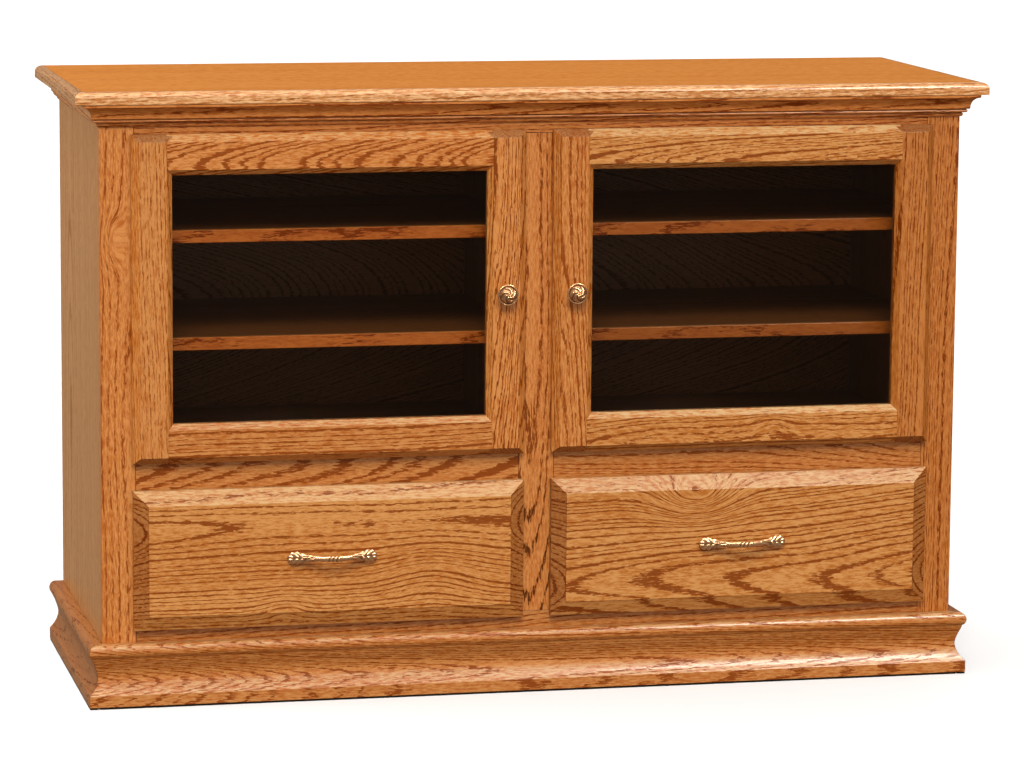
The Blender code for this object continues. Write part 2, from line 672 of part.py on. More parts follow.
def drawer_front(name, x_mid, parent):
    w, h = DRAWER_X[1] - DRAWER_X[0], DRAWER_Z[1] - DRAWER_Z[0]
    bm = cube((w, DRAWER_EDGE, h))
    bm.faces.ensure_lookup_table()
    face = min(bm.faces, key=lambda f: f.calc_center_median().y)
    step = 0.0010
    bmesh.ops.inset_region(bm, faces=[face], thickness=DRAWER_BEVEL - 0.0004,
                           depth=FRONT_T - DRAWER_EDGE - step, use_even_offset=True)
    bmesh.ops.inset_region(bm, faces=[face], thickness=0.0004, depth=step, use_even_offset=True)
    add(name, to_mesh(name, bm), (x_mid, Y_DOOR_BACK - DRAWER_EDGE / 2, DRAWER_MID_Z), OAK, parent)


def slide_outline(web_x, reach, half_h):
    """A channel: web at web_x, flanges reaching to web_x + reach."""
    t = math.copysign(SLIDE_SHEET, reach)
    return [(web_x, -half_h), (web_x + reach, -half_h), (web_x + reach, -half_h + SLIDE_SHEET),
            (web_x + t, -half_h + SLIDE_SHEET), (web_x + t, half_h - SLIDE_SHEET),
            (web_x + reach, half_h - SLIDE_SHEET), (web_x + reach, half_h), (web_x, half_h)]


def slide(side, hand, x_wall, into, parent):
    """Outer channel on the frame stile's edge, inner channel on the drawer box.
    into is +1 where the drawer lies at +X of the wall."""
    half = SLIDE_H / 2
    rear = Y_INNER
    y_from = Y_FACE + 0.002
    length = rear - y_from
    basis = ((into, 0, 0), (0, 0, 1))
    name = "%s_slide_outer_%s" % (side, hand)
    bm = outline_bmesh([slide_outline(GAP, 0.009, half)], length, basis)
    outer = add(name, to_mesh(name, bm), (x_wall, (y_from + rear) / 2, SLIDE_Z), STEEL)
    foot = to_mesh("slide_foot", cube((0.030, SLIDE_SHEET, SLIDE_H - 0.006)))
    boolean(outer, cutter(name + "_foot", foot,
                          (x_wall + into * (GAP + 0.0151), rear - SLIDE_SHEET / 2, SLIDE_Z)), "UNION")
    name = "%s_slide_inner_%s" % (side, hand)
    inner_len = BOX_DEPTH - 0.014
    bm = outline_bmesh([slide_outline(SLIDE_SPACE - GAP, -0.0088, half - SLIDE_SHEET - 0.0005)],
                       inner_len, basis)
    add(name, to_mesh(name, bm), (x_wall, BOX_Y[0] + 0.010 + inner_len / 2, SLIDE_Z), STEEL, parent)


for side, sign in (("left", -1), ("right", 1)):
    x_mid = sign * DRAWER_MID_X
    runner = empty("%s_drawer_axis" % side, (x_mid, Y_DOOR_BACK, SLIDE_Z))
    drawer_front("%s_drawer_front" % side, x_mid, runner)

    # four walls in one dovetailed unit, grooved for the bottom
    xs = sorted((sign * BOX_X[0], sign * BOX_X[1]))
    tray = box("%s_drawer_box" % side, (xs[0], BOX_Y[0], BOX_Z[0]), (xs[1], BOX_Y[1], BOX_Z[1]),
               MAPLE, runner)
    centre = ((xs[0] + xs[1]) / 2, (BOX_Y[0] + BOX_Y[1]) / 2)
    room = (xs[1] - xs[0] - 2 * BOX_T, BOX_DEPTH - 2 * BOX_T)
    well = to_mesh("well", cube((room[0], room[1], 0.4)))
    boolean(tray, cutter("%s_well" % side, well, (*centre, DRAWER_MID_Z)))
    groove_d = 0.006
    groove = to_mesh("groove", cube((room[0] + 2 * groove_d, room[1] + 2 * groove_d,
                                     BOTTOM_Z[1] - BOTTOM_Z[0] + 2 * GAP)))
    boolean(tray, cutter("%s_groove" % side, groove, (*centre, sum(BOTTOM_Z) / 2)))
    grip = groove_d - GAP
    box("%s_drawer_bottom" % side,
        (centre[0] - room[0] / 2 - grip, centre[1] - room[1] / 2 - grip, BOTTOM_Z[0]),
        (centre[0] + room[0] / 2 + grip, centre[1] + room[1] / 2 + grip, BOTTOM_Z[1]), PLY, runner)

    add("%s_drawer_pull" % side, PULL_MESH, (x_mid, Y_DOOR_FRONT, DRAWER_MID_Z), BRASS, runner)

    walls = sorted((sign * OPEN_IN, sign * OPEN_OUT))
    slide(side, "left", walls[0], 1, runner)
    slide(side, "right", walls[1], -1, runner)
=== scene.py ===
"""Looks of the oak TV console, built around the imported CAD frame."""

import json
import math

import bmesh
import bpy
from mathutils import Matrix, Vector

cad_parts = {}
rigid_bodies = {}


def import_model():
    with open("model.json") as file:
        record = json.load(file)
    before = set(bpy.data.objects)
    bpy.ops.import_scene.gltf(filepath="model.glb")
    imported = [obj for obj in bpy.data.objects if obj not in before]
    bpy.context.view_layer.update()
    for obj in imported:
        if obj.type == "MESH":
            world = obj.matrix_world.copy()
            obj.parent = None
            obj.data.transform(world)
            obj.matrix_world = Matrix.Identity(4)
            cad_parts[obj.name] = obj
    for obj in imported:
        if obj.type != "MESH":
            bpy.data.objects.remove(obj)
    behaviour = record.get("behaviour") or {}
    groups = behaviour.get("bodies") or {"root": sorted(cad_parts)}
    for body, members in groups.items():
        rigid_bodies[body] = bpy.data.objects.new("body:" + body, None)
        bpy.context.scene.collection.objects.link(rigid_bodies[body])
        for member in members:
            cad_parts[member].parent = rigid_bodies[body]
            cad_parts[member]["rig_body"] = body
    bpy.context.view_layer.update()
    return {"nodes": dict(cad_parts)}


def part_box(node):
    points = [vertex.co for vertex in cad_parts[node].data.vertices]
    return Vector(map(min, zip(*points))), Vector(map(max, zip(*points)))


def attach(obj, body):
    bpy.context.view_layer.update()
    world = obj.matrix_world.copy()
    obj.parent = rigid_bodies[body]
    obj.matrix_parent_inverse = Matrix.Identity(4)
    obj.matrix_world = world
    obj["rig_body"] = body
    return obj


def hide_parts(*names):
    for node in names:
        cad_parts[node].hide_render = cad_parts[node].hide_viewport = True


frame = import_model()
NODES = frame["nodes"]
SCENE = bpy.context.scene


# ================================================================ small helpers
def body_of(node):
    return NODES[node]["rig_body"]


def middle(node):
    low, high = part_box(node)
    return (low + high) / 2


def finish_mesh(name, bm, degrees=35):
    bmesh.ops.recalc_face_normals(bm, faces=bm.faces[:])
    mesh = bpy.data.meshes.new(name)
    bm.to_mesh(mesh)
    bm.free()
    mesh.shade_smooth()
    mesh.set_sharp_from_angle(angle=math.radians(degrees))
    return mesh


def piece(name, mesh, body, material, replaces=(), weighted=False, at=None):
    ob = bpy.data.objects.new(name, mesh)
    SCENE.collection.objects.link(ob)
    if material is not None:
        mesh.materials.clear()
        mesh.materials.append(material)
    if at is not None:
        ob.matrix_world = at
    if weighted:
        mod = ob.modifiers.new("normals", "WEIGHTED_NORMAL")
        mod.keep_sharp = True
        mod.weight = 60
    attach(ob, body)
    if replaces:
        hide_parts(*replaces)
    return ob


def second_side(ob, material, axis, sign):
    """Give the faces that look along sign * axis a material of their own."""
    ob.data.materials.append(material)
    for p in ob.data.polygons:
        if p.normal[axis] * sign > 0.9:
            p.material_index = 1


def clean_bmesh(node):
    """The node's surface as joined polygons."""
    bm = bmesh.new()
    bm.from_mesh(NODES[node].data)
    bmesh.ops.remove_doubles(bm, verts=bm.verts[:], dist=4e-6)
    bmesh.ops.dissolve_limit(bm, angle_limit=math.radians(0.4), verts=bm.verts[:],
                             edges=bm.edges[:])
    return bm


def ease(bm, width, segments=2, degrees=24):
    """Break the sharp edges, as sanding does."""
    edges = [e for e in bm.edges
             if len(e.link_faces) == 2 and e.calc_face_angle(0.0) > math.radians(degrees)]
    if edges:
        bmesh.ops.bevel(bm, geom=edges, offset=width, offset_type="OFFSET", segments=segments,
                        profile=0.5, affect="EDGES", clamp_overlap=True)
    return bm


def add_prism(bm, outline, axis, start, end):
    """Extrude a flat outline of points along axis 0, 1 or 2 of space."""
    others = [i for i in range(3) if i != axis]

    def place(p, along):
        co = [0.0, 0.0, 0.0]
        co[others[0]], co[others[1]], co[axis] = p[0], p[1], along
        return bm.verts.new(co)

    a = [place(p, start) for p in outline]
    b = [place(p, end) for p in outline]
    n = len(outline)
    for i in range(n):
        bm.faces.new((a[i], a[(i + 1) % n], b[(i + 1) % n], b[i]))
    bm.faces.new(a)
    bm.faces.new(b)


def block(low, high):
    """A closed box as a bmesh."""
    bm = bmesh.new()
    add_prism(bm, [(low[0], low[1]), (high[0], low[1]), (high[0], high[1]), (low[0], high[1])],
              2, low[2], high[2])
    bmesh.ops.recalc_face_normals(bm, faces=bm.faces[:])
    return bm


# ================================================================ node building
class Net:
    """Short calls for building a shader network."""

    def __init__(self, tree):
        self.tree = tree

    def add(self, kind, **props):
        n = self.tree.nodes.new(kind)
        for k, v in props.items():
            setattr(n, k, v)
        return n

    def put(self, socket, value):
        if isinstance(value, bpy.types.NodeSocket):
            self.tree.links.new(value, socket)
        else:
            socket.default_value = value

    def math(self, op, a, b=None, c=None, clamp=False):
        n = self.add("ShaderNodeMath", operation=op, use_clamp=clamp)
        for i, v in enumerate((a, b, c)):
            if v is not None:
                self.put(n.inputs[i], v)
        return n.outputs[0]

    def vmath(self, op, a, b=None, scale=None):
        n = self.add("ShaderNodeVectorMath", operation=op)
        self.put(n.inputs[0], a)
        if b is not None:
            self.put(n.inputs[1], b)
        if scale is not None:
            self.put(n.inputs["Scale"], scale)
        return n.outputs[1] if op in ("LENGTH", "DOT_PRODUCT", "DISTANCE") else n.outputs[0]

    def noise(self, vector, scale=1.0, detail=2.0, rough=0.5, colour=False, dims="3D", w=None):
        n = self.add("ShaderNodeTexNoise", noise_dimensions=dims)
        if dims == "1D":
            self.put(n.inputs["W"], w)
        else:
            self.put(n.inputs["Vector"], vector)
        self.put(n.inputs["Scale"], scale)
        self.put(n.inputs["Detail"], detail)
        self.put(n.inputs["Roughness"], rough)
        return n.outputs["Color"] if colour else n.outputs[0]

    def step(self, x, low, high, to_low=0.0, to_high=1.0, kind="SMOOTHSTEP"):
        n = self.add("ShaderNodeMapRange", interpolation_type=kind)
        self.put(n.inputs[0], x)
        for i, v in enumerate((low, high, to_low, to_high)):
            self.put(n.inputs[i + 1], v)
        return n.outputs[0]

    def mix(self, fac, a, b, blend="MIX"):
        n = self.add("ShaderNodeMix", data_type="RGBA", blend_type=blend, clamp_factor=True)
        self.put(n.inputs[0], fac)
        self.put(n.inputs[6], a)
        self.put(n.inputs[7], b)
        return n.outputs[2]

    def split(self, v):
        n = self.add("ShaderNodeSeparateXYZ")
        self.put(n.inputs[0], v)
        return n.outputs

    def join(self, x, y, z):
        n = self.add("ShaderNodeCombineXYZ")
        for i, v in enumerate((x, y, z)):
            self.put(n.inputs[i], v)
        return n.outputs[0]


def rgb(r, g, b):
    return (r, g, b, 1.0)


def new_material(name):
    mat = bpy.data.materials.new(name)
    mat.use_nodes = True
    return mat, Net(mat.node_tree), mat.node_tree.nodes["Principled BSDF"]


# ================================================================ oak
def oak_group():
    """Ring-porous wood in board coordinates (across, through, along), metres, with
    the pith at across = through = 0. Rings are cut by whatever face the board shows,
    so faces carry cathedrals and flames, and ends carry ring arcs. The vessels of the
    early wood are short dark dashes along the grain: crowded where a ring begins,
    thinning out towards its end."""
    g = bpy.data.node_groups.new("ring_porous_wood", "ShaderNodeTree")
    for name, kind, default in (("Vector", "NodeSocketVector", (0, 0, 0)),
                                ("End", "NodeSocketFloat", 0.0),
                                ("Period", "NodeSocketFloat", 0.0056),
                                ("Early", "NodeSocketFloat", 1.0),
                                ("Taper", "NodeSocketFloat", 0.02),
                                ("Offset", "NodeSocketFloat", 0.0),
                                ("Wander", "NodeSocketFloat", 0.04),
                                ("Swirl", "NodeSocketFloat", 0.006),
                                ("Bands", "NodeSocketFloat", 1.0),
                                ("Pores", "NodeSocketFloat", 1.0),
                                ("Fleck", "NodeSocketFloat", 1.0),
                                ("Light", "NodeSocketColor", rgb(.6, .26, .07)),
                                ("Middle", "NodeSocketColor", rgb(.48, .16, .03)),
                                ("Dark", "NodeSocketColor", rgb(.2, .05, .01))):
        s = g.interface.new_socket(name, in_out="INPUT", socket_type=kind)
        s.default_value = default
    for name, kind in (("Color", "NodeSocketColor"), ("Roughness", "NodeSocketFloat"),
                       ("Height", "NodeSocketFloat")):
        g.interface.new_socket(name, in_out="OUTPUT", socket_type=kind)
    net = Net(g)
    put = g.nodes.new("NodeGroupInput").outputs
    out = g.nodes.new("NodeGroupOutput").inputs
    v = put["Vector"]

    def stretched(x, y, z):
        return net.vmath("MULTIPLY", v, (x, y, z))

    def warp(base, stretch, detail, size):
        n = net.noise(stretched(*stretch), 1.0, detail, 0.5, colour=True)
        n = net.vmath("SUBTRACT", n, (0.5, 0.5, 0.5))
        return net.vmath("ADD", base, net.vmath("SCALE", n, scale=size))

    p = warp(v, (1.3, 1.3, 1.4), 1.0, put["Wander"])
    p = warp(p, (15.0, 15.0, 3.6), 1.0, put["Swirl"])
    a, b, _ = net.split(p)
    radius = net.math("SQRT", net.math("ADD", net.math("MULTIPLY", a, a),
                                       net.math("MULTIPLY", b, b)))
    radius = net.math("MULTIPLY_ADD", net.split(v)[2], put["Taper"], radius)
    radius = net.math("ADD", radius, put["Offset"])
    jag = net.noise(stretched(300.0, 300.0, 42.0), 1.0, 2.0, 0.65)
    radius = net.math("MULTIPLY_ADD", net.math("SUBTRACT", jag, 0.5), 0.0034, radius)
    u = net.math("DIVIDE", radius, put["Period"])
    vary = net.noise(None, 0.27, 1.0, 0.5, dims="1D", w=u)
    u = net.math("MULTIPLY_ADD", vary, 2.4, u)
    ring = net.math("FRACT", u)
    weight = net.add("ShaderNodeTexWhiteNoise", noise_dimensions="1D")
    net.put(weight.inputs["W"], net.math("FLOOR", u))
    weight = net.step(weight.outputs[0], 0.0, 1.0, 0.68, 1.0, "LINEAR")
    ring = net.math("DIVIDE", ring, put["Early"])
    early = net.math("MULTIPLY", net.step(ring, 0.0, 0.05), net.step(ring, 0.14, 0.50, 1.0, 0.0))
    early = net.math("MULTIPLY", early, net.math("MULTIPLY", weight, put["Bands"]))

    dash = net.noise(stretched(400.0, 400.0, 62.0), 1.0, 2.0, 0.7)
    fleck = net.noise(stretched(360.0, 360.0, 70.0), 1.0, 2.0, 0.7)
    broad = net.noise(stretched(24.0, 24.0, 1.0), 1.0, 1.0, 0.5)
    gate = net.math("MULTIPLY_ADD", put["Pores"], 0.07, -0.88)
    gate = net.math("MULTIPLY_ADD", early, 0.45, gate)
    shade = net.step(net.math("ADD", dash, gate), -0.05, 0.06, 0.0, 0.94)

    tone = net.math("MULTIPLY", net.math("SUBTRACT", fleck, 0.5), put["Fleck"])
    tone = net.math("MULTIPLY_ADD", tone, 3.8, 0.36)
    tone = net.math("MULTIPLY_ADD", net.math("SUBTRACT", broad, 0.5), 1.0, tone)
    tone = net.math("MULTIPLY_ADD", early, 0.35, tone, clamp=True)
    colour = net.mix(tone, put["Light"], put["Middle"])
    colour = net.mix(shade, colour, put["Dark"])
    # open ends drink more stain; the same darkening is also painted shade on bevels that look down
    colour = net.mix(put["End"], colour, net.mix(1.0, colour, rgb(0.61, 0.51, 0.45), "MULTIPLY"))
    net.put(out["Color"], colour)
    rough = net.math("MULTIPLY_ADD", shade, 0.06, 0.27)
    net.put(out["Roughness"], net.math("MULTIPLY_ADD", broad, 0.06, rough))
    net.put(out["Height"], net.math("MULTIPLY", shade, -1.0))
    return g


OAK_GROUP = oak_group()
ORDER = {("X", "front"): (2, 1, 0), ("Z", "front"): (0, 1, 2), ("X", "flat"): (1, 2, 0),
         ("Y", "flat"): (0, 2, 1), ("Z", "side"): (1, 0, 2), ("Y", "side"): (2, 0, 1)}


def tint(colour, tone):
    return rgb(*(min(1.0, c * tone) for c in colour))


OAK = ((0.655, 0.298, 0.084), (0.462, 0.134, 0.011), (0.235, 0.050, 0.005))
ORANGE = ((0.628, 0.256, 0.066), (0.441, 0.111, 0.007), (0.248, 0.051, 0.004))
CENTRE = ((0.615, 0.242, 0.060), (0.428, 0.106, 0.007), (0.190, 0.037, 0.002))
CORNICE = ((0.610, 0.215, 0.044), (0.430, 0.108, 0.006), (0.195, 0.030, 0.000))


def oak(name, grain, face, centre, pith=(0.0, 0.06), shift=0.0, period=0.0056, early=1.0,
        taper=0.02, wander=0.04, swirl=0.006, bands=1.0, pores=1.5, fleck=1.0, tone=1.0, colours=OAK,
        bump=0.30, coat=0.20, gloss=0.42, knots=(), curve=0.0, deep=1.0, wipe=0.45):
    """One board's own cut of oak. pith: its place across the face and behind it.
    knots: places (along, across, reach along, reach across, push) that bend the grain.
    curve: how fast the rings' slope grows along the lower or left part of the board.
    deep: what is left of the dark bands' colour along that part.
    wipe: how much of the dark bands is left on edges that look up; these edges are also painted paler,
    as painted light from above."""
    mat, net, bsdf = new_material(name)
    coords = net.add("ShaderNodeTexCoord").outputs
    order = ORDER[(grain, face)]
    parts = net.split(coords["Object"])
    c = [centre[i] for i in order]
    across, through, along = (net.math("SUBTRACT", parts[i], c[k]) for k, i in enumerate(order))
    for at, over, reach, spread, push in knots:
        da = net.math("MULTIPLY", net.math("SUBTRACT", along, at), 1.0 / reach)
        db = net.math("MULTIPLY", net.math("SUBTRACT", across, over), 1.0 / spread)
        far = net.math("MULTIPLY_ADD", da, da, net.math("MULTIPLY", db, db))
        hill = net.math("EXPONENT", net.math("MULTIPLY", far, -1.0))
        across = net.math("MULTIPLY_ADD", hill, push, across)
    board_at = net.vmath("ADD", net.join(across, through, along), (-pith[0], -pith[1], shift))
    normal = net.split(coords["Normal"])
    group = net.add("ShaderNodeGroup", node_tree=OAK_GROUP)
    net.put(group.inputs["Vector"], board_at)
    end = net.step(net.math("ABSOLUTE", normal[order[2]]), 0.12, 0.42)
    if face == "front" and grain == "X":
        # painted shade: bevels that look down are darkened, as if shaded from the light above
        end = net.math("MAXIMUM", end, net.step(normal[2], -0.40, -0.15, 0.36, 0.0))
    net.put(group.inputs["End"], end)
    if curve:
        low = net.math("MINIMUM", net.math("ADD", along, 0.13), 0.0)
        net.put(group.inputs["Offset"], net.math("MULTIPLY", net.math("MULTIPLY", low, low), curve))
    for key, value in (("Period", period), ("Early", early), ("Taper", taper), ("Wander", wander),
                       ("Swirl", swirl), ("Bands", bands), ("Pores", pores), ("Fleck", fleck)):
        group.inputs[key].default_value = value
    for key, colour in zip(("Light", "Middle", "Dark"), colours):
        group.inputs[key].default_value = tint(colour, tone)
    wiped = face == "front" and wipe < 1.0
    if wiped:
        # painted light: bevels that look up are painted paler, with fewer dark bands, as if lit from
        # above; they are also made duller
        net.put(group.inputs["Bands"], net.step(normal[2], 0.22, 0.50, bands, wipe * bands))
        red, green, blue = colours[0]
        net.put(group.inputs["Light"], net.mix(net.step(normal[2], 0.22, 0.50),
                                               tint(colours[0], tone),
                                               tint((0.92 * red, 1.26 * green, 2.0 * blue), tone)))
    if deep < 1.0:
        # the steep arches are cut through the darkest late wood
        net.put(group.inputs["Dark"], net.mix(net.step(along, -0.24, -0.13, 1.0, 0.0),
                                              tint(colours[2], tone), tint(colours[2], deep * tone)))
    net.put(bsdf.inputs["Base Color"], group.outputs["Color"])
    net.put(bsdf.inputs["Roughness"], group.outputs["Roughness"])
    knock = net.add("ShaderNodeBump")
    knock.inputs["Strength"].default_value = bump
    knock.inputs["Distance"].default_value = 0.0003
    net.put(knock.inputs["Height"], group.outputs["Height"])
    net.put(bsdf.inputs["Normal"], knock.outputs[0])
    net.put(bsdf.inputs["Coat Normal"], knock.outputs[0])
    bsdf.inputs["Coat Weight"].default_value = coat
    bsdf.inputs["Coat Roughness"].default_value = 0.12
    if gloss:
        # open pores swallow the shine
        shine = net.math("MULTIPLY_ADD", group.outputs["Height"], 0.85 * gloss, gloss)
        if wiped:
            shine = net.math("MULTIPLY", shine, net.step(normal[2], 0.22, 0.50, 1.0, 0.5))
        net.put(bsdf.inputs["Specular IOR Level"], shine)
    else:
        bsdf.inputs["Specular IOR Level"].default_value = 0.0
    return mat


def board(node, grain, face, slot="oak", easing=0.0006, segments=2, **cut):
    """The node's own shape with eased edges and its own cut of oak."""
    bm = ease(clean_bmesh(node), easing, segments)
    mesh = finish_mesh(node + "_board", bm)
    mat = oak("oak_" + node, grain, face, middle(node), **cut)
    return piece(node + "_board", mesh, body_of(node), mat, (node,), weighted=True)


# ================================================================ solid oak boards
board("frame_stile_left", "Z", "front", pith=(0.030, 0.060), shift=1.3, taper=0.012, wander=0.03,
      swirl=0.006, bands=0.76, knots=((0.250, -0.006, 0.040, 0.016, 0.022),), colours=ORANGE,
      tone=1.03)
board("frame_stile_center", "Z", "front", pith=(-0.010, 0.035), shift=5.2, tone=0.99,
      taper=-0.004, curve=0.27, deep=0.40, wander=0.03, swirl=0.006, bands=0.84, colours=CENTRE)
# painted shade: toned darker, as the light falls off towards the right
board("frame_stile_right", "Z", "front", pith=(0.09, 0.04), shift=7.7, tone=0.87, bands=0.85,
      colours=CORNICE, period=0.0048)
# painted shade: the top rail is toned darker for the shadow under the cornice
board("frame_rail_top", "X", "front", pith=(0.06, 0.03), shift=2.0, tone=0.86, colours=CORNICE)
board("frame_rail_mid_left", "X", "front", pith=(0.024, 0.110), shift=5.3, taper=0.065,
      wander=0.03, swirl=0.008, bands=1.15, period=0.0042, early=1.3, tone=0.92, colours=ORANGE)
board("frame_rail_mid_right", "X", "front", pith=(0.036, 0.060), shift=9.2, taper=-0.035,
      wander=0.04, swirl=0.010, bands=1.05, tone=0.90, colours=ORANGE, period=0.0042)
board("frame_rail_bottom", "X", "front", pith=(0.08, 0.04), shift=3.1, tone=0.82, colours=ORANGE)

board("cornice_front", "X", "front", easing=0.0003, pith=(0.05, 0.05), shift=6.1, wander=0.03,
      colours=CORNICE)
board("cornice_left", "Y", "side", easing=0.0003, pith=(0.05, 0.05), shift=2.4, tone=1.12)
board("cornice_right", "Y", "side", easing=0.0003, pith=(0.05, -0.05), shift=8.4, tone=1.12)
board("base_moulding_front", "X", "front", easing=0.0005, pith=(-0.034, 0.050), shift=1.7,
      taper=0.030, curve=-0.09, wander=0.03, swirl=0.005, period=0.0036, tone=0.94,
      colours=ORANGE, pores=2.4, wipe=0.85, bands=0.82, gloss=0.56)
# painted shade: the side base mouldings are toned darker, for the dimmer light low on the sides
board("base_moulding_left", "Y", "side", easing=0.0005, pith=(-0.026, 0.060), shift=3.9,
      taper=-0.05, wander=0.04, tone=0.68, bands=0.7, colours=CORNICE)
board("base_moulding_right", "Y", "side", easing=0.0005, pith=(-0.026, -0.060), shift=6.6,
      taper=-0.05, wander=0.04, tone=0.68, bands=0.7, colours=CORNICE)

board("left_door_stile_hinge", "Z", "front", pith=(-0.085, 0.05), shift=11.0, tone=0.96,
      wander=0.03, bands=0.74, period=0.0046, colours=ORANGE)
board("left_door_stile_knob", "Z", "front", pith=(-0.028, 0.030), shift=13.3, taper=-0.030,
      wander=0.04, swirl=0.008, period=0.0029, colours=CENTRE, tone=1.03)
board("left_door_rail_top", "X", "front", pith=(-0.016, 0.032), shift=15.1, taper=-0.130,
      wander=0.03, swirl=0.005, period=0.0042, bands=1.2, early=1.25, colours=ORANGE, tone=1.03)
board("left_door_rail_bottom", "X", "front", pith=(0.060, 0.050), shift=17.9, wander=0.03,
      period=0.0050, colours=ORANGE, tone=0.94)
# painted shade: toned darker, as the light falls off towards the right
board("right_door_stile_hinge", "Z", "front", pith=(0.075, 0.05), shift=23.0, wander=0.03,
      bands=0.95, colours=CORNICE, tone=0.84)
board("right_door_stile_knob", "Z", "front", pith=(-0.022, 0.040), shift=25.3, taper=0.030,
      wander=0.03, swirl=0.006, bands=0.95, colours=ORANGE, tone=0.99, period=0.0034)
board("right_door_rail_top", "X", "front", pith=(-0.026, 0.030), shift=27.1, taper=-0.052,
      wander=0.03, swirl=0.004, period=0.0031, tone=0.97, bands=1.1)
board("right_door_rail_bottom", "X", "front", pith=(-0.024, 0.035), shift=29.9, taper=-0.035,
      wander=0.05, swirl=0.010, period=0.0037, tone=0.95, knots=((0.045, 0.006, 0.030, 0.016,
      -0.009),), bands=1.1)
board("left_drawer_front", "X", "front", easing=0.0004, pith=(0.048, 0.040), shift=19.5,
      taper=-0.016, wander=0.040, swirl=0.008, period=0.0062,
      knots=((0.155, -0.030, 0.075, 0.050, -0.020), (-0.07, -0.075, 0.035, 0.025, -0.010)),
      tone=0.97)
board("right_drawer_front", "X", "front", easing=0.0004, pith=(-0.058, 0.050), shift=31.5,
      taper=-0.050, wander=0.040, swirl=0.010, period=0.0066, bands=1.05,
      knots=((-0.071, 0.072, 0.060, 0.036, 0.050),), tone=0.94)

# ================================================================ veneered panels
PANEL = ((0.588, 0.276, 0.088), (0.482, 0.210, 0.059), (0.333, 0.122, 0.027))
# painted shade: the inner faces of the side panels, the partition, the deck and the back's inner face
# take a darkened copy of the oak, standing in for the shade inside the cabinet
INSIDE_PAINTED_SHADE = ((0.300, 0.118, 0.036), (0.230, 0.082, 0.022), (0.120, 0.038, 0.008))
PLAIN = ((0.520, 0.300, 0.130), (0.450, 0.240, 0.095), (0.320, 0.150, 0.050))
for side, seed, inward in (("left", 31.0, 1), ("right", 37.0, -1)):
    node = "side_panel_" + side
    ob = board(node, "Z", "side", slot="oak_panel", pith=(0.11, 0.10), shift=seed, wander=0.05,
               bands=1.1, pores=1.1, fleck=1.3, colours=PANEL)
    second_side(ob, oak("oak_%s_inside" % node, "Z", "side", middle(node), pith=(0.11, 0.10),
                        shift=seed, wander=0.05, bands=0.55, colours=INSIDE_PAINTED_SHADE), 0, inward)
board("center_partition", "Z", "side", slot="oak_panel", pith=(0.11, 0.10), shift=41.0,
      wander=0.05, bands=0.6, colours=INSIDE_PAINTED_SHADE)
board("deck_panel", "X", "flat", slot="oak_panel", pith=(0.08, 0.15), shift=61.0, bands=0.6,
      colours=INSIDE_PAINTED_SHADE)
board("bottom_panel", "X", "flat", slot="plywood", pith=(0.08, 0.15), shift=67.0, bands=0.6,
      colours=PLAIN)
ob = board("back_panel", "X", "front", slot="plywood", pith=(0.03, 0.15), shift=71.0, taper=0.10,
           bands=0.7, pores=0.6, wander=0.08, colours=PLAIN)
second_side(ob, oak("oak_back_panel_inside", "X", "front", middle("back_panel"),
                    pith=(0.03, 0.15), shift=71.0, taper=0.20, wander=0.08, period=0.0036,
                    colours=INSIDE_PAINTED_SHADE, tone=1.15), 1, -1)

# shelves: veneered board with a solid front edging
EDGING = 0.010
SHELF_EDGE = ((0.540, 0.142, 0.016), (0.400, 0.082, 0.004), (0.180, 0.026, 0.000))
# painted shade: the shelf tops take a dark copy of the oak, standing in for the shade inside the
# cabinet
SHELF_TOP_PAINTED_SHADE = ((0.230, 0.080, 0.019), (0.176, 0.056, 0.011), (0.092, 0.027, 0.004))
# painted light and shade: each shelf edge is toned to how brightly it is lit behind the tinted glass,
# the upper and left ones lighter
for node, seed, tone in (("shelf_left_lower", 43.0, 1.30), ("shelf_left_upper", 47.0, 1.42),
                         ("shelf_right_lower", 53.0, 0.93), ("shelf_right_upper", 59.0, 1.14)):
    low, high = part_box(node)
    seam = low.y + EDGING
    bm = ease(block(low, (high.x, seam - 0.0001, high.z)), 0.0012, 3)
    mat = oak("oak_" + node + "_edge", "X", "front", (low + high) / 2, pith=(0.03, 0.25),
              shift=seed, wander=0.03, taper=0.006, period=0.0036, bands=0.85,
              colours=SHELF_EDGE, tone=tone)
    piece(node + "_edge", finish_mesh(node + "_edge", bm), "carcase", mat, (node,), True)
    bm = ease(block((low.x, seam + 0.0001, low.z), high), 0.0004, 2)
    mat = oak("oak_" + node + "_board", "X", "flat", (low + high) / 2, pith=(0.08, 0.10),
              shift=seed + 1.7, wander=0.05, bands=0.7, colours=SHELF_TOP_PAINTED_SHADE)
    piece(node + "_board", finish_mesh(node + "_board", bm), "carcase", mat, (node,),
          True)


# ================================================================ top board
TOP_FIELD = ((0.556, 0.218, 0.054), (0.432, 0.146, 0.025), (0.290, 0.080, 0.010))
TOP_EDGE = ((0.800, 0.450, 0.205), (0.530, 0.188, 0.040), (0.280, 0.076, 0.010))


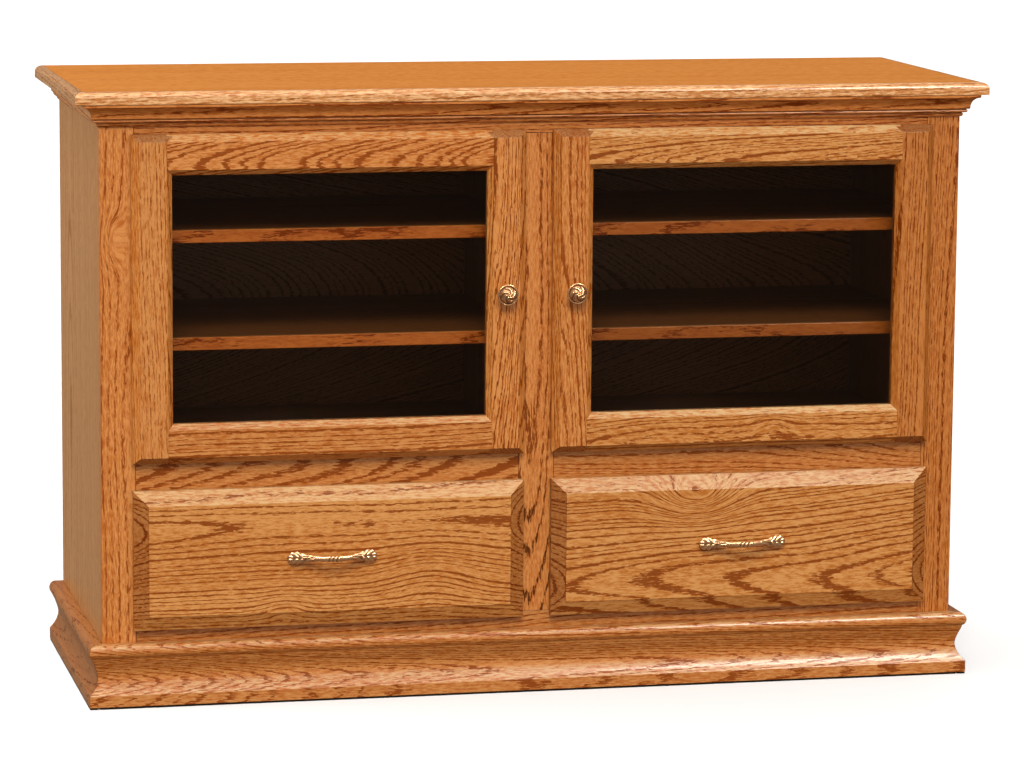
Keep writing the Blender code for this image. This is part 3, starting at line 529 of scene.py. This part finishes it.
def top_board():
    """Veneered field between solid edgings, mitred at the front corners."""
    low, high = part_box("top_panel")
    width, seam = 0.0130, 0.00015
    thick, reach, roundover, under = high.z - low.z, 0.0118, 0.0088, 0.0015
    outline = [(width - seam, 0.0)]                        # inward distance, height
    for i in range(5):
        a = math.radians(270 - 90 * i / 4)
        outline.append((under + under * math.cos(a), under + under * math.sin(a)))
    for i in range(11):
        a = math.radians(180 - 90 * i / 10)
        outline.append((reach + reach * math.cos(a),
                        thick - roundover + roundover * math.sin(a)))
    outline.append((width - seam, thick))

    def run(name, first, second, grain, face, cut):
        bm = bmesh.new()
        a = [bm.verts.new(first(o, z)) for o, z in outline]
        b = [bm.verts.new(second(o, z)) for o, z in outline]
        n = len(outline)
        for i in range(n):
            bm.faces.new((a[i], a[(i + 1) % n], b[(i + 1) % n], b[i]))
        bm.faces.new(a)
        bm.faces.new(b)
        mesh = finish_mesh(name, bm)
        centre = sum((v.co for v in mesh.vertices), Vector()) / len(mesh.vertices)
        mat = oak("oak_" + name, grain, face, centre, colours=TOP_EDGE, bands=0.75, fleck=1.3, **cut)
        piece(name, mesh, "carcase", mat, ("top_panel",), True)

    x0, x1, y0, y1, z0 = low.x, high.x, low.y, high.y, low.z
    g = seam
    run("top_edging_front", lambda o, z: (x0 + o + g, y0 + o, z0 + z),
        lambda o, z: (x1 - o - g, y0 + o, z0 + z), "X", "flat",
        dict(pith=(0.03, 0.035), shift=83.0, wander=0.03, taper=0.02))
    run("top_edging_left", lambda o, z: (x0 + o, y0 + o + g, z0 + z),
        lambda o, z: (x0 + o, y1, z0 + z), "Y", "flat",
        dict(pith=(0.03, 0.035), shift=87.0, wander=0.03, tone=0.72))
    run("top_edging_right", lambda o, z: (x1 - o, y0 + o + g, z0 + z),
        lambda o, z: (x1 - o, y1, z0 + z), "Y", "flat",
        dict(pith=(-0.03, 0.035), shift=91.0, wander=0.03, tone=0.72))
    bm = ease(block((x0 + width + g, y0 + width + g, z0), (x1 - width - g, y1, high.z)),
              0.00025, 1)
    mat = oak("oak_top_field", "X", "flat", (low + high) / 2, pith=(0.25, 0.12), shift=73.0,
              bands=0.55, pores=0.3, fleck=1.3, swirl=0.004, colours=TOP_FIELD, coat=0.08,
              gloss=0.0)
    piece("top_field", finish_mesh("top_field", bm), "carcase", mat, ("top_panel",),
          True)


top_board()

# ================================================================ drawer boxes
BOX_WOOD = ((0.640, 0.460, 0.270), (0.560, 0.375, 0.200), (0.420, 0.255, 0.120))


def drawer_box(side):
    """Four boards with through dovetails at the corners, and the bottom between them."""
    node, body = side + "_drawer_box", side + "_drawer"
    low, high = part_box(node)
    t, play, count = 0.0127, 0.00008, 4
    x0, y0, z0 = low
    x1, y1, z1 = high
    pitch = (z1 - z0) / count
    mids = [z0 + (k + 0.5) * pitch for k in range(count)]
    root, tip = 0.27 * pitch, 0.36 * pitch

    def dress(name, bm, grain, face, seed):
        mesh = finish_mesh(name, ease(bm, 0.0003, 1, 40))
        lo, hi = Vector(low), Vector(high)
        mat = oak("maple_" + name, grain, face, (lo + hi) / 2, pith=(0.05, 0.16), shift=seed,
                  bands=0.22, pores=0.1, fleck=0.5, wander=0.05, colours=BOX_WOOD, bump=0.08)
        piece(name, mesh, body, mat, (node,), True)

    tail = [(y0 + t, z0)]
    for z in mids:
        tail += [(y0 + t, z - root), (y0, z - tip), (y0, z + tip), (y0 + t, z + root)]
    tail += [(y0 + t, z1), (y1 - t, z1)]
    for z in reversed(mids):
        tail += [(y1 - t, z + root), (y1, z + tip), (y1, z - tip), (y1 - t, z - root)]
    tail.append((y1 - t, z0))
    for hand, start, seed in (("left", x0, 3.0), ("right", x1 - t, 9.0)):
        bm = bmesh.new()
        add_prism(bm, tail, 0, start, start + t)
        bmesh.ops.recalc_face_normals(bm, faces=bm.faces[:])
        dress("%s_drawer_wall_%s" % (side, hand), bm, "Y", "side", seed)

    edges = [(z0, z0)] + [p for z in mids for p in ((z - tip, z - root), (z + tip, z + root))]
    edges.append((z1, z1))
    for hand, outer, inner, seed in (("front", y0, y0 + t, 5.0), ("rear", y1, y1 - t, 7.0)):
        ys = sorted((outer, inner))
        bm = block((x0 + t, ys[0], z0), (x1 - t, ys[1], z1))
        for k in range(0, len(edges), 2):
            (a_out, a_in), (b_out, b_in) = edges[k], edges[k + 1]
            pin = [(outer, a_out + play), (inner, a_in + play), (inner, b_in - play),
                   (outer, b_out - play)]
            add_prism(bm, pin, 0, x0, x0 + t)
            add_prism(bm, pin, 0, x1 - t, x1)
        bmesh.ops.recalc_face_normals(bm, faces=bm.faces[:])
        dress("%s_drawer_wall_%s" % (side, hand), bm, "X", "front", seed)

    floor_node = side + "_drawer_bottom"
    blow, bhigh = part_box(floor_node)
    bm = ease(block((x0 + t + play, y0 + t + play, blow.z), (x1 - t - play, y1 - t - play, bhigh.z)),
              0.0002, 1)
    mat = oak("birch_" + floor_node, "X", "flat", (blow + bhigh) / 2, pith=(0.1, 0.2), shift=13.0,
              bands=0.25, pores=0.1, fleck=0.5, wander=0.06, colours=BOX_WOOD, tone=0.94, bump=0.06)
    piece(floor_node + "_sheet", finish_mesh(floor_node + "_sheet", bm), body, mat,
          (floor_node,), True)


drawer_box("left")
drawer_box("right")


# ================================================================ glass
def tinted_glass():
    mat, net, bsdf = new_material("tinted_glass")
    bsdf.inputs["Base Color"].default_value = rgb(0.010, 0.007, 0.005)
    bsdf.inputs["Roughness"].default_value = 0.04
    bsdf.inputs["Alpha"].default_value = 0.16
    return mat


GLASS = tinted_glass()
for side in ("left", "right"):
    NODES[side + "_door_glass"].data.materials.clear()
    NODES[side + "_door_glass"].data.materials.append(GLASS)


# ================================================================ metals
def metal(name, colour, dark, roughness, stretch, bump=0.15):
    """Plated or rolled metal with fine directional marks and uneven sheen."""
    mat, net, bsdf = new_material(name)
    where = net.add("ShaderNodeTexCoord").outputs["Object"]
    fine = net.noise(net.vmath("MULTIPLY", where, stretch), 1.0, 3.0, 0.6)
    cloud = net.noise(where, 90.0, 3.0, 0.55)
    net.put(bsdf.inputs["Base Color"],
            net.mix(net.step(net.math("MULTIPLY_ADD", fine, 0.5, net.math("MULTIPLY", cloud, 0.5)),
                             0.35, 0.65), rgb(*dark), rgb(*colour)))
    net.put(bsdf.inputs["Roughness"], net.math("MULTIPLY_ADD", cloud, 0.16, roughness - 0.08))
    knock = net.add("ShaderNodeBump")
    knock.inputs["Strength"].default_value = bump
    knock.inputs["Distance"].default_value = 0.0001
    net.put(knock.inputs["Height"], fine)
    net.put(bsdf.inputs["Normal"], knock.outputs[0])
    bsdf.inputs["Metallic"].default_value = 1.0
    return mat


ZINC = metal("zinc_steel", (0.66, 0.66, 0.65), (0.50, 0.51, 0.51), 0.34, (900, 30, 900))
NICKEL = metal("nickel", (0.70, 0.68, 0.64), (0.58, 0.56, 0.52), 0.26, (500, 500, 60))
for node, ob in NODES.items():
    if "slide" in node or "hinge_cup" in node or "hinge_arm" in node:
        ob.data.materials.clear()
        ob.data.materials.append(ZINC if "slide" in node else NICKEL)


def antique_brass():
    """Cast brass: bright rubbed high spots, dark patina left in the recesses. The
    pieces carry the height of their relief as an attribute."""
    mat, net, bsdf = new_material("antique_brass")
    relief = net.add("ShaderNodeAttribute", attribute_name="relief").outputs["Fac"]
    where = net.add("ShaderNodeTexCoord").outputs["Object"]
    cloud = net.noise(where, 420.0, 3.0, 0.6)
    worn = net.math("MULTIPLY_ADD", net.math("SUBTRACT", cloud, 0.5), 0.30, relief)
    worn = net.step(worn, 0.04, 0.60)
    net.put(bsdf.inputs["Base Color"],
            net.mix(worn, rgb(0.150, 0.050, 0.010), rgb(0.705, 0.406, 0.205)))
    net.put(bsdf.inputs["Roughness"], net.step(worn, 0.0, 1.0, 0.42, 0.26))
    net.put(bsdf.inputs["Metallic"], net.step(worn, 0.0, 1.0, 0.40, 0.76))
    knock = net.add("ShaderNodeBump")
    knock.inputs["Strength"].default_value = 0.12
    knock.inputs["Distance"].default_value = 0.0002
    net.put(knock.inputs["Height"], cloud)
    net.put(bsdf.inputs["Normal"], knock.outputs[0])
    return mat


BRASS = antique_brass()


def smooth_step(x, low, high):
    t = min(1.0, max(0.0, (x - low) / (high - low)))
    return t * t * (3 - 2 * t)


def bell(x, middle_at, spread):
    return math.exp(-((x - middle_at) / spread) ** 2)


def surface_from_rings(name, rings):
    """Join rings of (position, relief) into one closed surface that carries the relief."""
    bm = bmesh.new()
    layer = bm.verts.layers.float.new("relief")
    loops = []
    for ring in rings:
        loop = []
        for co, value in ring:
            v = bm.verts.new(co)
            v[layer] = max(0.0, min(1.0, value))
            loop.append(v)
        loops.append(loop)
    n = len(loops[0])
    for a, b in zip(loops, loops[1:]):
        for k in range(n):
            bm.faces.new((a[k], a[(k + 1) % n], b[(k + 1) % n], b[k]))
    bm.faces.new(loops[0])
    bm.faces.new(loops[-1])
    return finish_mesh(name, bm, 60)


def knob(node, turn):
    """Turned stem and rim, with a swirl of leaves carved on the domed face."""
    low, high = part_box(node)
    cx, cz = (low.x + high.x) / 2, (low.z + high.z) / 2
    foot, r = high.y, (high.x - low.x) / 2
    depth = high.y - low.y
    sides = 144
    stem = [(0.001, 0.0), (0.52, 0.0), (0.52, 0.0010), (0.49, 0.0017), (0.42, 0.0026),
            (0.37, 0.0045), (0.365, 0.0060), (0.40, 0.0080), (0.52, 0.0100), (0.70, 0.0118),
            (0.86, 0.0132)]
    stem = [(a * r, b) for a, b in stem]
    bead = 0.00120
    for i in range(11):                                     # rolled rim
        a = math.radians(-70 + 215 * i / 10)
        stem.append((r - bead + bead * math.cos(a), 0.0152 + bead * math.sin(a)))
    rings = []

    def ring(radius, height, carve=None, value=0.85):
        out = []
        for k in range(sides):
            t = 2 * math.pi * k / sides
            h, shown = height, value
            if carve is not None:
                lift, shown = carve(t)
                h += lift
            out.append(((cx + radius * math.cos(t), foot - h, cz + radius * math.sin(t)), shown))
        rings.append(out)

    for radius, height in stem:
        ring(radius, height)
    ring(r - 2.15 * bead, 0.0149, value=0.12)
    dome_r, base_h = r - 2.4 * bead, 0.0149
    rise = depth - base_h - 0.0014
    count = 44
    for i in range(count):
        q = max(0.012, 1 - i / (count - 1))
        height = base_h + rise * (1 - q ** 2.2)

        def carve(t, q=q):
            heart = smooth_step(q, 0.10, 0.26)
            edge = 1 - smooth_step(q, 0.88, 1.0)
            phase = (t + turn) * 5 / (2 * math.pi) + 1.55 * (1 - q) ** 1.2
            s = phase % 1.0
            crest = smooth_step(s, 0.0, 0.58) * (1 - smooth_step(s, 0.70, 1.0))
            vein = 0.45 * bell(s, 0.36, 0.055) * smooth_step(q, 0.30, 0.55)
            notch = 0.30 * bell((q * 3.2 + 0.9 * s) % 1.0, 0.5, 0.12) * smooth_step(q, 0.35, 0.6)
            shape = max(0.0, crest - vein - notch * crest)
            button = (1 - heart) * (0.75 + 0.25 * math.cos(5 * (t + turn) + 0.6))
            lift = 0.0021 * edge * (heart * shape + 0.55 * button)
            return lift, (0.06 + 0.94 * shape * heart + 0.85 * button) * (0.2 + 0.8 * edge)

        ring(dome_r * q, height, carve)
    mesh = surface_from_rings(node + "_cast", rings)
    piece(node + "_cast", mesh, body_of(node), BRASS, (node,))


knob("left_door_knob", 0.3)
knob("right_door_knob", 1.1)


def pull(node):
    """Bow pull: acanthus-leaf ends on the drawer face, fluted sheaths that run out into
    a slim bar, and a twisted middle."""
    low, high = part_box(node)
    cx, wood = (low.x + high.x) / 2, high.y
    cz = middle(node.replace("pull", "front")).z
    half = (high.x - low.x) / 2
    sides, count = 60, 150
    spine = []
    for i in range(-count, count + 1):
        s = math.sin(math.pi / 2 * i / count) * 0.35 + 0.65 * i / count
        d = abs(s)
        leaf = bell(d, 0.84, 0.145 if d > 0.84 else 0.240)
        bar = 0.0040 + 0.0003 * math.cos(math.pi * min(1.0, d * 1.6))
        close = math.sqrt(max(0.0, 1 - max(0.0, (d - 0.90) / 0.10) ** 2))
        tall = (bar + 0.0056 * leaf) * (0.30 + 0.70 * close)
        thick = (0.0031 + 0.0010 * leaf) * (0.20 + 0.80 * close)
        climb = 0.5 + 0.5 * math.cos(math.pi * min(1.0, d / 0.86))
        out = 0.0043 + 0.0178 * climb ** 0.8
        spine.append((half * s, out, tall, thick, s, 0.0))
    rings = []
    for n, (x, out, tall, thick, s, drop) in enumerate(spine):
        a, b = spine[max(0, n - 1)], spine[min(len(spine) - 1, n + 1)]
        along = Vector((b[0] - a[0], -(b[1] - a[1]), 0)).normalized()
        across = Vector((along.y, -along.x, 0))
        d = abs(s)
        flat = smooth_step(d, 0.70, 0.84)
        across = (across * (1 - flat) + Vector((0, -1, 0)) * flat).normalized()
        centre = Vector((cx + x, wood - out, cz + drop))
        leafy = smooth_step(d, 0.60, 0.70)
        sheath = smooth_step(d, 0.36, 0.44) * (1 - leafy)
        banded = 1 - smooth_step(d, 0.120, 0.145)
        plain = max(0.0, 1 - leafy - sheath - banded)
        collar = bell(d, 0.155, 0.012) + 0.7 * bell(d, 0.385, 0.014)
        ring = []
        for k in range(sides):
            t = 2 * math.pi * k / sides
            w = math.sin(t)
            front = max(0.0, math.cos(t))
            # leaf lobes fan out from a mid vein and scallop the outline
            q = (d - 0.58) * 7.6 - 1.0 * abs(w) ** 1.25
            lobe = abs(math.sin(math.pi * q)) ** 0.75
            vein = 1 - 0.80 * math.exp(-(w / 0.12) ** 2)
            curl = 0.5 + 0.5 * math.cos(2 * math.pi * (d - 0.94) / 0.15)
            carve = (0.78 * lobe + 0.22 * curl) * vein
            flute = 0.5 + 0.5 * math.cos(6 * t + 40 * (d - 0.4) * (0.4 + 0.6 * abs(w)))
            twist = 0.5 + 0.5 * math.sin(2 * math.pi * (x / 0.0058) - 2 * t)
            grow = leafy * (carve - 0.40) * 0.0017 * (0.30 + 0.70 * front)
            grow += sheath * (flute - 0.5) * 0.0009 + banded * (twist - 0.5) * 0.0010
            grow += collar * 0.0005 * (1 - leafy)
            edge = 1.0 + leafy * 0.18 * (lobe - 0.5) * abs(w) ** 3
            value = (leafy * (0.04 + 0.96 * carve) + sheath * (0.10 + 0.85 * flute)
                     + banded * (0.06 + 0.9 * twist) + plain * (0.70 + 0.2 * collar))
            co = (centre + across * (thick + grow) * math.cos(t)
                  + Vector((0, 0, (tall * edge + grow) * w)))
            co.y = min(co.y, wood)
            ring.append((co, value))
        rings.append(ring)
    mesh = surface_from_rings(node + "_cast", rings)
    piece(node + "_cast", mesh, body_of(node), BRASS, (node,))


pull("left_drawer_pull")
pull("right_drawer_pull")


# ================================================================ small hardware
def screw_mesh(name, radius, height):
    """Cross-recess screw head, face up along +Z, its seat at 0."""
    bm = bmesh.new()
    n = 24

    def loop(r, z):
        return [bm.verts.new((r * math.cos(2 * math.pi * k / n),
                              r * math.sin(2 * math.pi * k / n), z)) for k in range(n)]

    def wall(a, b):
        for k in range(len(a)):
            bm.faces.new((a[k], a[(k + 1) % len(a)], b[(k + 1) % len(b)], b[k]))

    seat, side = loop(radius, 0.0), loop(radius, height * 0.4)
    top = loop(radius * 0.78, height)
    bm.faces.new(seat)
    wall(seat, side)
    wall(side, top)
    w, r = radius * 0.15, radius * 0.50
    cross = [(r, -w), (r, w), (w, w), (w, r), (-w, r), (-w, w), (-r, w), (-r, -w), (-w, -w),
             (-w, -r), (w, -r), (w, -w)]
    upper = [bm.verts.new((x, y, height)) for x, y in cross]
    lower = [bm.verts.new((x * 0.7, y * 0.7, height * 0.25)) for x, y in cross]
    wall(upper, lower)
    bm.faces.new(lower)
    edges = [bm.edges.get((top[k], top[(k + 1) % n])) for k in range(n)]
    edges += [bm.edges.get((upper[k], upper[(k + 1) % 12])) for k in range(12)]
    bmesh.ops.triangle_fill(bm, use_beauty=True, use_dissolve=False, edges=edges)
    mesh = finish_mesh(name, bm, 40)
    mesh.materials.append(NICKEL)
    return mesh


def facing(at, normal, spin=0.0):
    """Placement with +Z along normal."""
    m = Vector(normal).to_track_quat("Z", "Y").to_matrix().to_4x4()
    m = Matrix.Translation(Vector(at)) @ m @ Matrix.Rotation(spin, 4, "Z")
    return m


SCREW = screw_mesh("screw_head", 0.0030, 0.0007)
PANEL_SCREW = screw_mesh("panel_screw_head", 0.0040, 0.0009)
for side, sign in (("left", -1), ("right", 1)):
    for level in ("lower", "upper"):
        cup_low, cup_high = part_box("%s_hinge_cup_%s" % (side, level))
        arm_low, arm_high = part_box("%s_hinge_arm_%s" % (side, level))
        z = (cup_low.z + cup_high.z) / 2
        edge_x = sign * 0.6151
        for k, up in (("a", -1), ("b", 1)):
            piece("%s_cup_screw_%s_%s" % (side, level, k), SCREW, side + "_door", None,
                  at=facing((edge_x - sign * 0.0225, cup_high.y, z + up * 0.0222), (0, 1, 0),
                            0.4 + up))
            plate_x = arm_low.x if sign > 0 else arm_high.x
            piece("%s_arm_screw_%s_%s" % (side, level, k), SCREW, "carcase", None,
                  at=facing((sign * (0.6097 - 0.0023), arm_high.y - 0.0070, z + up * 0.0140),
                            (-sign, 0, 0), 0.9 * up))

back_low, back_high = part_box("back_panel")
spots = [(x, z) for x in (-0.60, -0.36, -0.12, 0.12, 0.36, 0.60)
         for z in (back_low.z + 0.014, back_high.z - 0.014)]
spots += [(x, z) for x in (-0.632, 0.632) for z in (0.24, 0.40, 0.56, 0.72)]
for k, (x, z) in enumerate(spots):
    piece("back_screw_%02d" % k, PANEL_SCREW, "carcase", None,
          at=facing((x, back_high.y, z), (0, 1, 0), 0.7 * k))


def shelf_pin_mesh():
    """Spoon pin: collar and stem out of the wall along +X, flat spoon on top of it."""
    bm = bmesh.new()
    n = 20
    rows = [(0.0, 0.0), (0.0042, 0.0), (0.0042, 0.0012), (0.0036, 0.0016), (0.0025, 0.0017),
            (0.0025, 0.0088), (0.0021, 0.0094), (0.0, 0.0094)]
    loops = []
    for r, x in rows:
        r = max(r, 0.00005)
        loops.append([bm.verts.new((x, r * math.cos(2 * math.pi * k / n),
                                    -0.0037 + r * math.sin(2 * math.pi * k / n)))
                      for k in range(n)])
    for a, b in zip(loops, loops[1:]):
        for k in range(n):
            bm.faces.new((a[k], a[(k + 1) % n], b[(k + 1) % n], b[k]))
    bm.faces.new(loops[0])
    bm.faces.new(loops[-1])
    spoon = []
    for k in range(13):
        t = math.radians(-90 + 180 * k / 12)
        spoon.append((0.0075 + 0.0042 * math.cos(t), 0.0042 * math.sin(t)))
    spoon += [(0.0018, 0.0042), (0.0018, -0.0042)]
    add_prism(bm, spoon, 2, -0.0015, -0.0001)
    mesh = finish_mesh("shelf_pin", bm, 40)
    mesh.materials.append(NICKEL)
    return mesh


PIN = shelf_pin_mesh()
for bay, sign in (("left", -1), ("right", 1)):
    for level in ("lower", "upper"):
        low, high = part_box("shelf_%s_%s" % (bay, level))
        for wall, x, turn in (("a", low.x - 0.0003, 0.0), ("b", high.x + 0.0003, math.pi)):
            for depth, y in (("front", low.y + 0.055), ("rear", high.y - 0.055)):
                piece("shelf_pin_%s_%s_%s_%s" % (bay, level, wall, depth), PIN, "carcase", None,
                      at=Matrix.Translation((x, y, low.z))
                      @ Matrix.Rotation(turn, 4, "Z"))


def rubber():
    mat, net, bsdf = new_material("bumper_rubber")
    cloud = net.noise(net.add("ShaderNodeTexCoord").outputs["Object"], 700.0, 2.0, 0.5)
    net.put(bsdf.inputs["Base Color"], net.mix(cloud, rgb(0.050, 0.034, 0.024),
                                               rgb(0.090, 0.064, 0.046)))
    net.put(bsdf.inputs["Roughness"], net.math("MULTIPLY_ADD", cloud, 0.2, 0.45))
    return mat


def bumper_mesh():
    """Domed pad, face up along +Z."""
    bm = bmesh.new()
    n = 20
    rows = [(0.0023, 0.0), (0.0023, 0.0012), (0.0021, 0.0017), (0.0016, 0.0020), (0.0008, 0.0022)]
    loops = [[bm.verts.new((r * math.cos(2 * math.pi * k / n), r * math.sin(2 * math.pi * k / n),
                            z)) for k in range(n)] for r, z in rows]
    for a, b in zip(loops, loops[1:]):
        for k in range(n):
            bm.faces.new((a[k], a[(k + 1) % n], b[(k + 1) % n], b[k]))
    bm.faces.new(loops[0])
    bm.faces.new(loops[-1])
    mesh = finish_mesh("bumper", bm, 50)
    mesh.materials.append(rubber())
    return mesh


BUMPER = bumper_mesh()
for side, sign in (("left", -1), ("right", 1)):
    low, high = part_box(side + "_door_stile_knob")
    free = high.x if sign < 0 else low.x
    for k, z in (("lower", low.z + 0.0027), ("upper", high.z - 0.0027)):
        piece("%s_door_bumper_%s" % (side, k), BUMPER, side + "_door", None,
              at=facing((free + sign * 0.0028, high.y, z), (0, 1, 0)))
    low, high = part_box(side + "_drawer_front")
    for k, x in (("a", low.x + 0.0026), ("b", high.x - 0.0026)):
        for j, z in (("lower", low.z + 0.0027), ("upper", high.z - 0.0026)):
            piece("%s_drawer_bumper_%s_%s" % (side, j, k), BUMPER, side + "_drawer", None,
                  at=facing((x, high.y, z), (0, 1, 0)))



def shadow_line_felt():
    mat, net, bsdf = new_material("shadow_line_felt")
    where = net.add("ShaderNodeTexCoord").outputs["Object"]
    fibre = net.noise(where, 1900.0, 3.0, 0.7)
    net.put(bsdf.inputs["Base Color"], net.mix(fibre, rgb(0.006, 0.004, 0.003),
                                               rgb(0.022, 0.014, 0.009)))
    bsdf.inputs["Roughness"].default_value = 0.95
    bsdf.inputs["Specular IOR Level"].default_value = 0.1
    return mat


# felt strips carry the base moulding clear of the floor, set a little back from its face; they are near
# black, a dark sheet standing in for the shadow line in the gap
SHADOW_LINE_FELT = shadow_line_felt()
for name in ("front", "left", "right"):
    low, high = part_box("base_moulding_" + name)
    back, wide = 0.0010, 0.0120
    if name == "front":
        bm = block((low.x + 0.016, low.y + back, 0.0002), (high.x - 0.016, low.y + wide, low.z))
    elif name == "left":
        bm = block((low.x + back, low.y + back, 0.0002), (low.x + wide, high.y - back, low.z))
    else:
        bm = block((high.x - wide, low.y + back, 0.0002), (high.x - back, high.y - back, low.z))
    piece("shadow_line_strip_" + name, finish_mesh("shadow_line_strip_" + name, ease(bm, 0.0004, 2)), "carcase", SHADOW_LINE_FELT)

# ================================================================ camera
Y_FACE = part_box("frame_stile_left")[0].y
YAW, PITCH, ROLL = 0.22175, 0.15101, 0.00745
forward = Vector((math.sin(YAW) * math.cos(PITCH), math.cos(YAW) * math.cos(PITCH),
                  -math.sin(PITCH)))
right0 = Vector((math.cos(YAW), -math.sin(YAW), 0))
up0 = right0.cross(forward)
right = math.cos(ROLL) * right0 + math.sin(ROLL) * up0
up = -math.sin(ROLL) * right0 + math.cos(ROLL) * up0
cam = bpy.data.cameras.new("camera")
cam.sensor_fit = "HORIZONTAL"
cam.sensor_width = 36.0
cam.lens = 4318.374 * 36.0 / 1024.0
cam.clip_end = 100.0
camera = bpy.data.objects.new("camera", cam)
SCENE.collection.objects.link(camera)
m = Matrix((right, up, -forward)).transposed().to_4x4()
m.translation = Vector((-1.45373, -6.27869 + Y_FACE, 1.45019))
camera.matrix_world = m
SCENE.camera = camera

# ================================================================ floor and light
bm = bmesh.new()
bmesh.ops.create_grid(bm, x_segments=2, y_segments=2, size=40.0)
floor = bpy.data.objects.new("floor", finish_mesh("floor", bm))
floor.location = (0, 0, -0.0002)
SCENE.collection.objects.link(floor)
mat, net, bsdf = new_material("floor_white")
bsdf.inputs["Base Color"].default_value = rgb(0.94, 0.96, 0.99)
bsdf.inputs["Roughness"].default_value = 0.8
bsdf.inputs["Specular IOR Level"].default_value = 0.1
floor.data.materials.append(mat)
floor.visible_diffuse = False
floor.visible_glossy = False
floor.visible_shadow = False


def studio():
    """Soft light from above, dim at the horizon."""
    world = bpy.data.worlds.new("studio")
    world.use_nodes = True
    tree = world.node_tree
    net = Net(tree)
    where = net.add("ShaderNodeTexCoord").outputs["Generated"]
    up = net.split(where)[2]
    ramp = net.add("ShaderNodeValToRGB")
    ramp.color_ramp.interpolation = "EASE"
    stops = ((0.0, 0.12), (0.46, 0.10), (0.50, 0.05), (0.58, 0.07), (0.72, 0.36), (0.88, 0.68),
             (1.0, 0.78))
    while len(ramp.color_ramp.elements) < len(stops):
        ramp.color_ramp.elements.new(0.5)
    for e, (at, level) in zip(ramp.color_ramp.elements, stops):
        e.position = at
        e.color = rgb(level, level * 0.985, level * 0.96) if at > 0.47 else rgb(
            level * 1.3, level * 0.80, level * 0.50)
    net.put(ramp.inputs[0], net.math("MULTIPLY_ADD", up, 0.5, 0.5))
    # a pale wall behind the console's left
    wall = net.vmath("DOT_PRODUCT", where, (-0.25, 0.956, -0.15))
    wall = net.step(wall, 0.86, 0.985, 0.0, 0.15)
    glow = net.add("ShaderNodeCombineColor")
    for i, share in enumerate((1.0, 0.84, 0.62)):
        net.put(glow.inputs[i], net.math("MULTIPLY", wall, share))
    net.put(tree.nodes["Background"].inputs[0],
            net.mix(1.0, ramp.outputs[0], glow.outputs[0], "ADD"))
    tree.nodes["Background"].inputs[1].default_value = 1.0
    SCENE.world = world


studio()


def sun(name, towards, power, spread, colour=(1.0, 0.97, 0.92), shine=True):
    """A soft lamp so far away that the floor is evenly lit."""
    data = bpy.data.lights.new(name, "SUN")
    data.energy = power
    data.angle = math.radians(spread)
    data.color = colour
    ob = bpy.data.objects.new(name, data)
    SCENE.collection.objects.link(ob)
    ob.rotation_euler = Vector(towards).to_track_quat("-Z", "Y").to_euler()
    ob.visible_glossy = shine
    return ob


sun("key", (0.13, 0.70, -0.70), 2.15, 26, shine=False)
sun("fill_front", (-0.06, 0.97, -0.22), 1.15, 90, shine=False)
sun("fill_left", (0.86, -0.30, -0.40), 0.38, 60, shine=False)
sun("bounce", (0.0, 0.30, 0.95), 0.27, 120, shine=False)
sun("fill_back", (0.15, -0.86, -0.48), 0.65, 80, shine=False)


def softbox(name, at, aim, size, power, shine=True):
    """A panel that only adds its reflection to lacquer, glass and metal, or only its light."""
    data = bpy.data.lights.new(name, "AREA")
    data.shape = "RECTANGLE"
    data.size, data.size_y = size
    data.energy = power
    data.color = (1.0, 0.975, 0.90) if shine else (1.0, 0.97, 0.93)
    ob = bpy.data.objects.new(name, data)
    SCENE.collection.objects.link(ob)
    ob.location = at
    ob.rotation_euler = (Vector(aim) - Vector(at)).to_track_quat("-Z", "Y").to_euler()
    ob.visible_camera = False
    ob.visible_diffuse = not shine
    ob.visible_glossy = shine
    return ob


softbox("shine_right", (1.45, -1.80, 2.50), (0.5, -0.25, 0.1), (1.1, 0.8), 95.0)
softbox("shine_left", (-1.30, -1.90, 2.70), (0.0, -0.25, 0.5), (1.4, 0.9), 82.0)
softbox("shine_front", (0.75, -2.90, 2.10), (0.1, -0.25, 0.3), (1.8, 0.7), 9.0)
softbox("shine_above", (-0.15, -1.25, 3.20), (0.0, -0.25, 0.5), (3.0, 1.1), 30.0)
softbox("side_fill", (-2.5, 0.15, 1.55), (-0.66, 0.0, 0.47), (1.0, 1.0), 16.5, shine=False)
softbox("side_fill_high", (-1.60, 0.10, 1.25), (-0.66, 0.1, 0.85), (0.4, 0.4), 1.5, shine=False)

SCENE.view_settings.view_transform = "Standard"
SCENE.view_settings.look = "None"

# ================================================================ update the view layer
bpy.context.view_layer.update()
